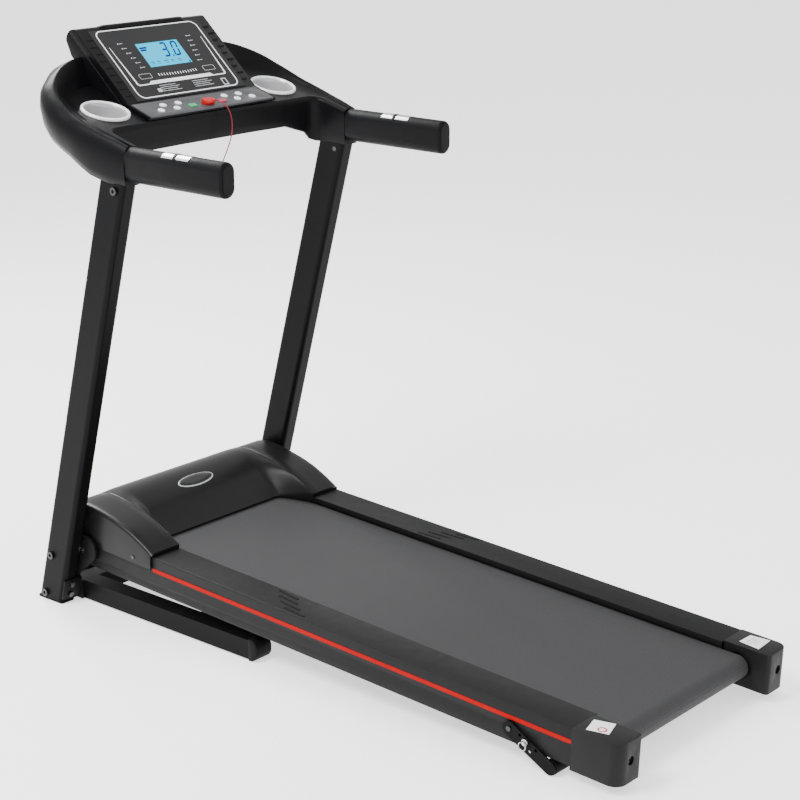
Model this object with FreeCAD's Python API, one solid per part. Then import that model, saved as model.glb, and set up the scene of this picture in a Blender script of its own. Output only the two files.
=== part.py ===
"""Folding home treadmill: base frame, leaning uprights, console, grips and a running deck that folds up.

Frame: +X is the user's right, +Y is forward (the motor end), +Z is up.  The origin is on the floor, at
the centre of the machine's footprint.  All sizes are in millimetres.
"""
import FreeCAD, Part
import math
import os

Vector = FreeCAD.Vector
X_AXIS = Vector(1, 0, 0)

# ---- whole machine -------------------------------------------------------------------------------
HALF_LENGTH = 720.0            # rear face of the end caps and front of the machine, from the origin
LONGER = HALF_LENGTH - 720.0    # how much longer each half is than the standard machine's
TOUCH = 0.3                    # gap between solids on different bodies that only face each other
PIN_FIT = 0.05                 # radial running clearance of a pin or shaft in its hole
SHELL = 3.0                    # wall of the moulded shells

# ---- running deck (built level, then tipped about the rear edge of the rail top) -------------------
DECK_TILT = 2.5                # degrees, front end higher
RAIL_TOP = 97.0                # height of the foot rail's top at its rear end
RAIL_HEIGHT = 72.0
RAIL_OUT = 274.0               # outer face of a foot rail from the centre line
RAIL_IN = 201.2                # inner edge of a foot rail from the centre line
DECK_FRONT = HALF_LENGTH - 44.0  # front face of the motor hood
RAIL_END = DECK_FRONT - 246.0  # foot rail top ends here, under the hood's side cover
BELT_WIDTH = 400.0
BELT_THICK = 2.0
BELT_DROP = 14.0               # belt surface below the rail top
ROLLER_R = 20.7
AXLE_R = 6.0
REAR_ROLLER_Y = -HALF_LENGTH + 62.0
FRONT_ROLLER_Y = DECK_FRONT - 156.0
BOARD_THICK = 16.0
TUBE_IN = 220.0                # inner face of the deck's steel side tube
TUBE_WIDE = 40.0
TUBE_TALL = 48.0
TUBE_WALL = 2.0
CAP_LENGTH = 100.0
STRIPE_TALL = 8.0
STRIPE_DROP = 26.0             # stripe centre below the rail top
HOOD_OUT = RAIL_OUT + 2.7      # outer face of the hood's side covers

# ---- motor and drive -------------------------------------------------------------------------------
MOTOR_Y = DECK_FRONT - 66.0
MOTOR_R = 40.0
MOTOR_LEVEL = 64.0 + MOTOR_R    # middle of the motor's shaft, clear of the cross tube
HOOD_PEAK = MOTOR_LEVEL + 57.0  # level of the hood's ridge, in the deck's own frame
FLYWHEEL_R = 44.0
MOTOR_PULLEY_R = 16.0
ROLLER_PULLEY_R = 31.0
DRIVE_BELT_THICK = 3.0
PULLEY_MID = 212.0             # middle of both pulleys, left of the centre line
PULLEY_WIDE = 12.0

# ---- base, uprights and fold pivot -----------------------------------------------------------------
POST_MID = 306.7               # middle of an upright and of a grip, from the centre line
POST_WIDE = 36.8               # across the machine
POST_DEEP = 67.6               # square to its length
POST_LEAN = 15.13              # degrees towards the user
POST_FOOT_Y = HALF_LENGTH - 40.0  # middle of the upright at the floor
POST_TOP = 922.0
PAD_TALL = 5.0
BASE_OUT = 273.5               # outer face of a base side tube
BASE_TUBE = 40.0
BASE_FLOOR_GAP = 3.0
BASE_REAR = HALF_LENGTH - 570.0
BASE_CROSS_Y = HALF_LENGTH - 92.0  # rear face of the front cross tube
PIVOT_Y = DECK_FRONT - 64.0
PIVOT_Z = 118.0 + 2 * LONGER * math.sin(math.radians(DECK_TILT))
PIVOT_R = 6.0
PLATE_THICK = 8.0              # pivot plate between the base and the upright
FOLD_TURN = 72.0               # degrees the deck turns from running to folded
LATCH_REACH = 26.0             # fold latch to fold pivot
LATCH_ANGLE = 160.0            # direction from the pivot to the latch, in degrees from forward
LATCH_R = 4.0
LATCH_TRAVEL = 22.0
WHEEL_R = 25.0
WHEEL_WIDE = 22.0
WHEEL_MID = 211.0

# ---- incline feet ------------------------------------------------------------------------------------
FOOT_PIVOT_Y = -HALF_LENGTH + 230.0
FOOT_PIVOT_Z = 61.5
FOOT_ROLLER_Y = -HALF_LENGTH + 142.0
FOOT_ROLLER_R = 14.0
FOOT_PLATE = 3.0
FOOT_SWING = 40.0              # degrees
LOCK_PIN_Y = -HALF_LENGTH + 191.0
LOCK_PIN_Z = 49.4
LOCK_PIN_R = 4.0

# ---- console, shroud and grips -----------------------------------------------------------------------
HEAD_UP = POST_TOP - 922.0      # console group above its place on the standard machine
HEAD_ALONG = LONGER - HEAD_UP * math.tan(math.radians(POST_LEAN))   # and forward of it
GRIP_Z = 949.0 + HEAD_UP
GRIP_WIDE = 39.0
GRIP_TALL = 67.0
GRIP_REAR = 139.0 + HEAD_ALONG
ARM_REAR = 393.0 + HEAD_ALONG  # rear end of the shroud's arms, where the grips begin
BEAM_Y = 478.0 + HEAD_ALONG    # face of the shroud that looks at the user, between the arms
SHROUD_HALF = 340.0
SHROUD_FRONT = 712.0 + HEAD_ALONG
SHELF_Y = 484.0 + HEAD_ALONG   # the shelf under the console passes through this point
SHELF_Z = 1006.0 + HEAD_UP
SHELF_RISE = math.tan(math.radians(POST_LEAN))
CUP_X = 232.6
CUP_Y = 546.0 + HEAD_ALONG
CUP_R = 49.0                   # outside of the cup holder's ring
CUP_DEEP = 52.0
CONSOLE_HALF = 176.0
PANEL_Y = 541.0 + HEAD_ALONG   # lower edge of the sloping display panel
PANEL_Z = 1031.0 + HEAD_UP
PANEL_TOP_Y = 689.0 + HEAD_ALONG
PANEL_TOP_Z = 1163.5 + HEAD_UP
STRIP_HALF = 171.0             # button strip
STRIP_THICK = 4.0
STRIP_FRONT_Z = 1012.5 + HEAD_UP
LCD_WIDE = 119.0
LCD_TALL = 67.5
LCD_FROM_EDGE = 114.5          # middle of the display above the panel's lower edge
OVERLAY_HALF = 150.0
OVERLAY_THICK = 0.8
BUTTON_R = 7.3
BUTTON_PROUD = 2.4
BUTTON_DEEP = 2.8
BUTTON_GAP = 0.3
ROW_FRONT = 19.0               # the two button rows, measured up the strip from its front edge
ROW_BACK = 38.0
FRONT_ROW_X = (-126.4, -83.9, 83.9, 126.4)
BACK_ROW_X = (-104.8, -64.0, 64.0, 104.8)
START_STOP_X = 41.3
CORD_R = 1.2

# Route of the safety key's cord, from the key down to its clip.
CORD_ROUTE = [
    (9.0, 489.0, 1024.5),
    (13.0, 476.0, 1022.0),
    (17.5, 462.0, 1011.0),
    (19.5, 454.0, 989.0),
    (16.0, 451.0, 962.0),
    (4.0, 451.0, 934.0),
    (-12.0, 452.0, 908.0),
    (-18.0, 453.0, 889.0),
    (-18.5, 453.0, 873.0),
]


# ---- building helpers -------------------------------------------------------------------------------
def block(x0, x1, y0, y1, z0, z1):
    """Box between the given planes."""
    return Part.makeBox(x1 - x0, y1 - y0, z1 - z0, Vector(x0, y0, z0))


def rod_x(x0, x1, y, z, radius):
    """Round bar that runs across the machine."""
    return Part.makeCylinder(radius, x1 - x0, Vector(x0, y, z), X_AXIS)


def rod_y(x, y0, y1, z, radius):
    """Round bar that runs along the machine."""
    return Part.makeCylinder(radius, y1 - y0, Vector(x, y0, z), Vector(0, 1, 0))


def mirrored(shape):
    """The same piece on the other side of the machine."""
    return shape.mirror(Vector(0, 0, 0), X_AXIS)


def pair(shape):
    """A piece and its mirror image, as two separate solids."""
    return Part.makeCompound([shape, mirrored(shape)])


def outline(points):
    """Closed wire through 3-D points; a point written as (mid, end) draws an arc through mid."""
    edges = []
    here = points[0]
    for item in points[1:] + [points[0]]:
        if isinstance(item[0], Vector):
            mid, end = item
            edges.append(Part.Arc(here, mid, end).toShape())
        else:
            end = item
            if (end - here).Length > 1e-6:
                edges.append(Part.LineSegment(here, end).toShape())
        here = end
    return Part.Wire(edges)


def side_point(item):
    """(y, z), or ((y, z), (y, z)) for an arc, as points of the plane x = 0."""
    if isinstance(item[0], tuple):
        return (Vector(0, *item[0]), Vector(0, *item[1]))
    return Vector(0, *item)


def side_wire(items):
    """Closed outline in the plane x = 0, seen from the side of the machine."""
    points = []
    for item in items:
        points.append(side_point(item))
    edges = []
    here = points[0]
    for item in points[1:]:
        if isinstance(item, tuple):
            edges.append(Part.Arc(here, item[0], item[1]).toShape())
            here = item[1]
        else:
            edges.append(Part.LineSegment(here, item).toShape())
            here = item
    if (here - points[0]).Length > 1e-6:
        edges.append(Part.LineSegment(here, points[0]).toShape())
    return Part.Wire(edges)


def across(wire, x0, x1):
    """Solid swept from x0 to x1 out of a side outline."""
    face = Part.Face(wire)
    face.translate(Vector(x0, 0, 0))
    return face.extrude(Vector(x1 - x0, 0, 0))


def side_prism(items, x0, x1):
    """Solid with the given side outline between two planes across the machine."""
    return across(side_wire(items), x0, x1)


def inset(wire, wall):
    """Side outline moved inwards by the wall."""
    return wire.makeOffset2D(-wall, 2, False, False)


def capsule(y0, z0, r0, y1, z1, r1, x0, x1):
    """Plate with two round ends of their own radii joined by tangent edges."""
    span = math.hypot(y1 - y0, z1 - z0)
    heading = math.atan2(z1 - z0, y1 - y0)
    swing = math.acos((r0 - r1) / span)

    def rim(y, z, radius, angle):
        return Vector(0, y + radius * math.cos(angle), z + radius * math.sin(angle))

    a = rim(y0, z0, r0, heading + swing)
    b = rim(y0, z0, r0, heading + math.pi)
    c = rim(y0, z0, r0, heading - swing)
    d = rim(y1, z1, r1, heading - swing)
    e = rim(y1, z1, r1, heading)
    f = rim(y1, z1, r1, heading + swing)
    edges = [Part.Arc(a, b, c).toShape(), Part.LineSegment(c, d).toShape(),
             Part.Arc(d, e, f).toShape(), Part.LineSegment(f, a).toShape()]
    return across(Part.Wire(edges), x0, x1)


def tipped(shape):
    """Deck piece moved from the level frame it is drawn in to its place on the sloping deck."""
    moved = shape.copy()
    moved.rotate(Vector(0, -HALF_LENGTH, RAIL_TOP), X_AXIS, DECK_TILT)
    return moved


def level(shape):
    """Piece given in the machine's frame, moved to the deck's level frame."""
    moved = shape.copy()
    moved.rotate(Vector(0, -HALF_LENGTH, RAIL_TOP), X_AXIS, -DECK_TILT)
    return moved


def leaned(shape):
    """Piece drawn along a vertical upright, moved to its place on the leaning one."""
    moved = shape.copy()
    moved.rotate(Vector(0, POST_FOOT_Y, 0), X_AXIS, POST_LEAN)
    return moved


def rounded_tube(wide, deep, z0, z1, corner, x, y):
    """Upright bar of rounded rectangular section."""
    bar = block(x - wide / 2, x + wide / 2, y - deep / 2, y + deep / 2, z0, z1)
    edges = [edge for edge in bar.Edges if abs(edge.Vertexes[0].Z - edge.Vertexes[1].Z) > 1]
    return bar.makeFillet(corner, edges)


def save(node, shape):
    """Write one node."""
    shape.exportStep("parts/" + node + ".step")


# ---- base frame --------------------------------------------------------------------------------------
def square_tube_y(x0, y0, y1, z0, size):
    """Square steel tube along the machine."""
    outer = block(x0, x0 + size, y0, y1, z0, z0 + size)
    return outer.cut(block(x0 + TUBE_WALL, x0 + size - TUBE_WALL, y0 - 1, y1 + 1,
                           z0 + TUBE_WALL, z0 + size - TUBE_WALL))


def square_tube_x(half, y0, z0, size):
    """Square steel tube across the machine."""
    outer = block(-half, half, y0, y0 + size, z0, z0 + size)
    return outer.cut(block(-half - 1, half + 1, y0 + TUBE_WALL, y0 + size - TUBE_WALL,
                           z0 + TUBE_WALL, z0 + size - TUBE_WALL))


def base_tubes():
    """Two side tubes that lie on the floor under the deck."""
    return pair(square_tube_y(BASE_OUT - BASE_TUBE, BASE_REAR, BASE_CROSS_Y, BASE_FLOOR_GAP, BASE_TUBE))


def base_cross_tubes():
    """Front and rear cross tubes, with the wheel brackets on the front one."""
    front = square_tube_x(BASE_OUT, BASE_CROSS_Y, BASE_FLOOR_GAP, BASE_TUBE)
    wheel_y = HALF_LENGTH - WHEEL_R
    lug = block(0, 4, BASE_CROSS_Y + BASE_TUBE, wheel_y + 9, 14, 40)
    lug = lug.cut(rod_x(-1, 5, wheel_y, WHEEL_R + 1.5, 5.0))
    solids = [front, square_tube_x(BASE_OUT - BASE_TUBE, HALF_LENGTH - 420.0, 8.0, 30.0)]
    for side in (-1, 1):
        for offset in (-WHEEL_WIDE / 2 - 6, WHEEL_WIDE / 2 + 2):
            plate = lug.copy()
            plate.translate(Vector(side * WHEEL_MID + offset, 0, 0))
            solids.append(plate)
    return Part.makeCompound(solids)


def transport_wheel(side):
    """Moulded wheel at the front of the base, turning on its axle."""
    wheel_y = HALF_LENGTH - WHEEL_R
    centre_z = WHEEL_R + 1.5
    x0 = side * WHEEL_MID - WHEEL_WIDE / 2
    wheel = rod_x(x0, x0 + WHEEL_WIDE, wheel_y, centre_z, WHEEL_R)
    rim = [edge for edge in wheel.Edges if edge.Curve.TypeId == "Part::GeomCircle"]
    wheel = wheel.makeFillet(3.0, rim)
    return wheel.cut(rod_x(x0 - 1, x0 + WHEEL_WIDE + 1, wheel_y, centre_z, 5.0 + PIN_FIT))


def post_bar():
    """Solid bar with the outside shape of the right upright, longer than the upright."""
    return leaned(rounded_tube(POST_WIDE, POST_DEEP, -60, POST_TOP + 128, 9.0, POST_MID, POST_FOOT_Y))


def post_bolt_places():
    """Where the bolts cross the upright: (y, z) on its outer face."""
    return [(POST_FOOT_Y - 14, 104.0), (POST_FOOT_Y + 10, 16.0), (424.0 + HEAD_ALONG, POST_TOP - 25)]


def uprights():
    """Two leaning steel tubes, bolted to the base plates and carrying the console."""
    inner = leaned(rounded_tube(POST_WIDE - 2 * TUBE_WALL, POST_DEEP - 2 * TUBE_WALL, -60, POST_TOP + 128,
                                7.0, POST_MID, POST_FOOT_Y))
    post = post_bar().cut(inner)
    keep = block(POST_MID - 50, POST_MID + 50, 0, 900, PAD_TALL, POST_TOP)
    post = post.common(keep)
    for y, z in post_bolt_places():
        post = post.cut(rod_x(POST_MID - 40, POST_MID + 40, y, z, 5.0))
    return pair(post)


def post_back(z):
    """How far back the upright's rear face is at a height."""
    slope = math.radians(POST_LEAN)
    return POST_FOOT_Y - z * math.tan(slope) - POST_DEEP / 2 / math.cos(slope)


def base_plates():
    """Plates welded to the base: they carry the uprights and the fold pivot."""
    inner_face = POST_MID - POST_WIDE / 2
    low, high = BASE_FLOOR_GAP, PIVOT_Z + 32
    plate = side_prism([(post_back(low) + 2, low), (post_back(low) + 66, low),
                        (post_back(60) + 64, 60.0), (post_back(high) + 60, high),
                        (PIVOT_Y - 12, high), ((PIVOT_Y - 40, PIVOT_Z + 6), (PIVOT_Y - 26, PIVOT_Z - 22)),
                        (post_back(60) + 2, 60.0)],
                       inner_face - PLATE_THICK, inner_face)
    plate = plate.cut(rod_x(0, 400, PIVOT_Y, PIVOT_Z, PIVOT_R))
    for y, z in post_bolt_places()[:2]:
        plate = plate.cut(rod_x(0, 400, y, z, 5.0))
    spacer = block(BASE_OUT, inner_face - PLATE_THICK, BASE_CROSS_Y, BASE_CROSS_Y + BASE_TUBE,
                   BASE_FLOOR_GAP, BASE_FLOOR_GAP + BASE_TUBE)
    flange = block(inner_face, inner_face + POST_WIDE, POST_FOOT_Y - POST_DEEP / 2 - 4,
                   POST_FOOT_Y - POST_DEEP / 2, 22, 66)
    ear = block(inner_face - PLATE_THICK, inner_face, POST_FOOT_Y - POST_DEEP / 2 - 4,
                POST_FOOT_Y - POST_DEEP / 2 + 10, 22, 66)
    left = mirrored(plate.fuse([spacer, leaned(flange), leaned(ear)]).removeSplitter())
    y, z = latch_place()
    boss = rod_x(inner_face, inner_face + 12, y, z, 8.0)
    right = plate.fuse([spacer, leaned(flange), leaned(ear), boss]).removeSplitter()
    right = right.cut(rod_x(inner_face - 20, inner_face + 20, y, z, LATCH_R + PIN_FIT))
    return Part.makeCompound([left, right])


def latch_place():
    """(y, z) of the fold latch in the right pivot plate."""
    angle = math.radians(LATCH_ANGLE)
    return PIVOT_Y + LATCH_REACH * math.cos(angle), PIVOT_Z + LATCH_REACH * math.sin(angle)


def latch_holes(x0, x1, radius):
    """Holes in the deck's side for the fold latch, with the deck down and with it folded."""
    y, z = latch_place()
    low = rod_x(x0, x1, y, z, radius)
    high = low.copy()
    high.rotate(Vector(0, PIVOT_Y, PIVOT_Z), X_AXIS, FOLD_TURN)
    return Part.makeCompound([low, high])


def fold_latch():
    """Pull knob whose pin locks the deck down or folded, drawn in its parked place."""
    y, z = latch_place()
    plate_out = POST_MID - POST_WIDE / 2
    tip = HOOD_OUT + 2.3
    pin = rod_x(tip, plate_out + 12 + LATCH_TRAVEL + 2, y, z, LATCH_R)
    knob = rod_x(plate_out + 12 + LATCH_TRAVEL + 1, plate_out + 12 + LATCH_TRAVEL + 17, y, z, 12.0)
    rims = [edge for edge in knob.Edges if edge.Curve.TypeId == "Part::GeomCircle"]
    return pin.fuse(knob.makeFillet(2.5, rims))


def frame_bolts():
    """Socket screws through the uprights, the screws on the rear flanges and the wheel axles."""
    outer = POST_MID + POST_WIDE / 2
    inner = POST_MID - POST_WIDE / 2
    bolts = []
    for y, z in post_bolt_places():
        reach = inner - PLATE_THICK if z < 200 else inner
        head = rod_x(outer, outer + 5, y, z, 8.0).cut(rod_x(outer + 2, outer + 6, y, z, 3.5))
        bolts.append(rod_x(reach, outer, y, z, 5.0).fuse(head))
    for z in (32.0, 56.0):
        screw = rod_y(POST_MID, POST_FOOT_Y - POST_DEEP / 2 - 9, POST_FOOT_Y - POST_DEEP / 2 - 4, z, 6.0)
        bolts.append(leaned(screw))
    wheel_y = HALF_LENGTH - WHEEL_R
    half = WHEEL_WIDE / 2 + 6
    bolts.append(rod_x(WHEEL_MID - half, WHEEL_MID + half, wheel_y, WHEEL_R + 1.5, 5.0))
    both = list(bolts)
    for bolt in bolts:
        both.append(mirrored(bolt))
    return Part.makeCompound(both)


def base_feet():
    """Rubber pads under the uprights and the round-ended caps on the base side tubes."""
    mid = BASE_OUT - BASE_TUBE / 2
    cap = block(mid - 21, mid + 21, BASE_REAR - 24, BASE_REAR, 0, 46)
    rear = [edge for edge in cap.Edges
            if edge.Vertexes[0].Y < BASE_REAR - 20 and edge.Vertexes[1].Y < BASE_REAR - 20
            and abs(edge.Vertexes[0].X - edge.Vertexes[1].X) > 1]
    cap = cap.makeFillet(20.0, rear)
    half = POST_WIDE / 2 - TOUCH
    pad = block(POST_MID - half, POST_MID + half, POST_FOOT_Y - 38, POST_FOOT_Y + 38, 0, PAD_TALL)
    upright = [edge for edge in pad.Edges if abs(edge.Vertexes[0].Z - edge.Vertexes[1].Z) > 1]
    pad = pad.makeFillet(6.0, upright)
    return Part.makeCompound([cap, mirrored(cap), pad, mirrored(pad)])


def fold_pivot_pins():
    """Shouldered pins from the base plates into the deck's side tubes."""
    outer = POST_MID - POST_WIDE / 2
    shoulder = rod_x(HOOD_OUT + TOUCH, outer - PLATE_THICK, PIVOT_Y, PIVOT_Z, 11.0)
    return pair(rod_x(TUBE_IN + 4, outer, PIVOT_Y, PIVOT_Z, PIVOT_R).fuse(shoulder))


# ---- deck frame and running surface --------------------------------------------------------------------
def tube_level():
    """Bottom of the side tubes in the deck's own frame."""
    return RAIL_TOP - RAIL_HEIGHT + 5.0


def deck_side_tubes():
    """Hollow steel side members with slots for the roller axles and holes for the pivots."""
    low = tube_level()
    rear, front = -HALF_LENGTH + 30, DECK_FRONT - 12
    tube = block(TUBE_IN, TUBE_IN + TUBE_WIDE, rear, front, low, low + TUBE_TALL)
    tube = tube.cut(block(TUBE_IN + TUBE_WALL, TUBE_IN + TUBE_WIDE - TUBE_WALL, rear - 1, front + 1,
                          low + TUBE_WALL, low + TUBE_TALL - TUBE_WALL))
    axle = axle_level()
    slot = block(TUBE_IN - 1, TUBE_IN + TUBE_WALL + 1, REAR_ROLLER_Y - 14, REAR_ROLLER_Y + 14,
                 axle - AXLE_R, axle + AXLE_R)
    tube = tube.cut(slot)
    tube = tube.cut(rod_x(TUBE_IN - 1, TUBE_IN + TUBE_WALL + 1, FRONT_ROLLER_Y, axle, AXLE_R))
    tube = tipped(tube)
    tube = tube.cut(rod_x(0, 400, PIVOT_Y, PIVOT_Z, PIVOT_R + PIN_FIT))
    tube = tube.cut(rod_x(0, 400, FOOT_PIVOT_Y, FOOT_PIVOT_Z, 5.0))
    return pair(tube.cut(latch_holes(TUBE_IN + TUBE_WIDE - 5, TUBE_IN + TUBE_WIDE + 5, LATCH_R + 0.3)))


def cross_tube_places():
    """Middle of each cross tube under the running board."""
    return [-HALF_LENGTH + 123, -HALF_LENGTH / 2, -HALF_LENGTH / 6, HALF_LENGTH / 6, HALF_LENGTH / 2]


def board_top():
    """Top of the running board, which is also the inside of the belt's upper run."""
    return RAIL_TOP - BELT_DROP - BELT_THICK


def axle_level():
    """Height of the roller axles: the belt runs off the board level with the rollers."""
    return board_top() - ROLLER_R - TOUCH


def deck_cross_tubes():
    """Cross tubes that carry the board, and the two deeper ones that carry the motor."""
    top = board_top() - BOARD_THICK - 6.0
    tubes = []
    for y in cross_tube_places():
        tubes.append(block(-TUBE_IN, TUBE_IN, y - 20, y + 20, top - 16, top))
    low = tube_level()
    tubes.append(block(-TUBE_IN, TUBE_IN, MOTOR_Y - 20, MOTOR_Y + 20, low, low + 30))
    tubes.append(block(-TUBE_IN, TUBE_IN, DECK_FRONT - 40, DECK_FRONT - 12, low, low + 20))
    return tipped(Part.makeCompound(tubes))


def deck_board():
    """Running board that the belt slides on."""
    top = board_top()
    return tipped(block(-212, 212, REAR_ROLLER_Y + 40, FRONT_ROLLER_Y - 40, top - BOARD_THICK, top))


def deck_cushions():
    """Rubber blocks between the board and its cross tubes."""
    top = board_top() - BOARD_THICK
    pads = []
    for y in cross_tube_places():
        for x in (-150, 150):
            pads.append(block(x - 25, x + 25, y - 15, y + 15, top - 6, top))
    return tipped(Part.makeCompound(pads))


def belt_loop(y0, z0, r0, y1, z1, r1, thick, x0, x1):
    """Closed flat belt round two wheels."""
    outer = capsule(y0, z0, r0 + thick, y1, z1, r1 + thick, x0, x1)
    return outer.cut(capsule(y0, z0, r0, y1, z1, r1, x0 - 1, x1 + 1))


def running_belt():
    """Endless running belt round both rollers."""
    inside = ROLLER_R + TOUCH
    level_z = axle_level()
    half = BELT_WIDTH / 2
    return tipped(belt_loop(REAR_ROLLER_Y, level_z, inside, FRONT_ROLLER_Y, level_z, inside,
                            BELT_THICK, -half, half))


def roller_tube(y, x0, x1):
    """Steel roller: a tube with a solid bored hub at each end."""
    z = axle_level()
    body = rod_x(x0, x1, y, z, ROLLER_R)
    body = body.cut(rod_x(x0 + 14, x1 - 14, y, z, ROLLER_R - 3))
    return body.cut(rod_x(x0 - 1, x1 + 1, y, z, AXLE_R + PIN_FIT))


def rear_roller():
    """Plain idler roller."""
    return tipped(roller_tube(REAR_ROLLER_Y, -203, 203))


def front_roller():
    """Driven roller with its grooved pulley at the left end."""
    z = axle_level()
    body = roller_tube(FRONT_ROLLER_Y, -203, 203)
    x0 = -PULLEY_MID - PULLEY_WIDE / 2
    pulley = rod_x(x0, x0 + PULLEY_WIDE, FRONT_ROLLER_Y, z, ROLLER_PULLEY_R - TOUCH)
    neck = rod_x(x0, -202, FRONT_ROLLER_Y, z, 12)
    body = body.fuse([pulley, neck])
    return tipped(body.cut(rod_x(-240, 240, FRONT_ROLLER_Y, z, AXLE_R + PIN_FIT)))


def adjuster_x():
    """Place of the belt adjusting screws across the machine."""
    return TUBE_IN + TUBE_WIDE / 2


def roller_axles():
    """Fixed axles; the rear one is cross drilled for the adjusting screws."""
    z = axle_level()
    reach = adjuster_x() + 8
    rear = rod_x(-reach, reach, REAR_ROLLER_Y, z, AXLE_R)
    for side in (-1, 1):
        rear = rear.cut(rod_y(side * adjuster_x(), REAR_ROLLER_Y - 20, REAR_ROLLER_Y + 20, z, 3.0))
    front = rod_x(-TUBE_IN - 2, TUBE_IN + 2, FRONT_ROLLER_Y, z, AXLE_R)
    return tipped(Part.makeCompound([front, rear]))


def deck_fasteners():
    """Belt adjusting screws in the end caps, side cover screws and the foot pivot pins."""
    z = axle_level()
    x = adjuster_x()
    screw = rod_y(x, -HALF_LENGTH + 8, REAR_ROLLER_Y + 12, z, 3.0)
    head = rod_y(x, -HALF_LENGTH + 4, -HALF_LENGTH + 12, z, 6.5)
    head = head.cut(rod_y(x, -HALF_LENGTH + 3, -HALF_LENGTH + 8, z, 2.6))
    adjuster = tipped(screw.fuse(head))
    trim = tipped(rod_x(HOOD_OUT, HOOD_OUT + 1.6, DECK_FRONT - 206, RAIL_TOP - 14, 4.0))
    pin = rod_x(FOOT_IN_FACE - FOOT_PLATE - 2, FOOT_OUT_FACE + FOOT_PLATE + 2, FOOT_PIVOT_Y,
                FOOT_PIVOT_Z, 5.0)
    solids = []
    for shape in (adjuster, trim, pin):
        solids += [shape, mirrored(shape)]
    return Part.makeCompound(solids)


# ---- foot rails and rear caps ------------------------------------------------------------------------
FOOT_OUT_FACE = RAIL_OUT + 2.5         # inner side of the foot's outer plate
FOOT_IN_FACE = TUBE_IN - 3.5           # outer side of the foot's inner plate


def lock_slot():
    """Curved slot that the foot's locking pin sweeps through as the foot swings."""
    reach_y = LOCK_PIN_Y - FOOT_PIVOT_Y
    reach_z = LOCK_PIN_Z - FOOT_PIVOT_Z
    radius = math.hypot(reach_y, reach_z)
    start = math.atan2(reach_z, reach_y)
    turn = math.radians(FOOT_SWING + 3)
    half = LOCK_PIN_R + TOUCH

    def at(distance, angle):
        return (FOOT_PIVOT_Y + distance * math.cos(angle), FOOT_PIVOT_Z + distance * math.sin(angle))

    band = side_prism([at(radius - half, start),
                       (at(radius - half, start + turn / 2), at(radius - half, start + turn)),
                       at(radius + half, start + turn),
                       (at(radius + half, start + turn / 2), at(radius + half, start))],
                      RAIL_OUT - 14, RAIL_OUT + 5)
    first = rod_x(RAIL_OUT - 14, RAIL_OUT + 5, LOCK_PIN_Y, LOCK_PIN_Z, half)
    return band.fuse(first)


def rail_covers():
    """Foot rails: channel sections that cover the side tubes, with a lip over the belt's edge."""
    low = RAIL_TOP - RAIL_HEIGHT
    rear = -HALF_LENGTH + CAP_LENGTH
    top = block(RAIL_IN, RAIL_OUT, rear, RAIL_END, RAIL_TOP - SHELL, RAIL_TOP)
    lip = block(RAIL_IN, RAIL_IN + 2.5, rear, RAIL_END, RAIL_TOP - BELT_DROP + 2, RAIL_TOP)
    side = block(RAIL_OUT - SHELL, RAIL_OUT, rear, DECK_FRONT - 4, low, RAIL_TOP)
    foot = block(TUBE_IN + TUBE_WIDE + 2, RAIL_OUT, rear, DECK_FRONT - 4, low, low + SHELL)
    cover = top.fuse([lip, side, foot]).removeSplitter()
    edge = [e for e in cover.Edges
            if abs(e.Vertexes[0].X - RAIL_OUT) < 0.01 and abs(e.Vertexes[0].Z - RAIL_TOP) < 0.01
            and abs(e.Vertexes[1].X - RAIL_OUT) < 0.01 and abs(e.Vertexes[1].Z - RAIL_TOP) < 0.01]
    cover = cover.makeFillet(2.0, edge)
    cover = tipped(cover)
    cover = cover.cut(rod_x(RAIL_OUT - 10, RAIL_OUT + 5, PIVOT_Y, PIVOT_Z, PIVOT_R + 2))
    cover = cover.cut(rod_x(RAIL_OUT - 10, RAIL_OUT + 5, FOOT_PIVOT_Y, FOOT_PIVOT_Z, 5.0))
    cover = cover.cut(latch_holes(RAIL_OUT - 10, RAIL_OUT + 5, LATCH_R + 0.5))
    return pair(cover.cut(lock_slot()))


def side_stripes():
    """Coloured strips on the outer faces of the foot rails."""
    mid = RAIL_TOP - STRIPE_DROP
    stripe = block(RAIL_OUT, RAIL_OUT + 0.6, -HALF_LENGTH + CAP_LENGTH, DECK_FRONT - 262,
                   mid - STRIPE_TALL / 2, mid + STRIPE_TALL / 2)
    return pair(tipped(stripe))


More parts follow.
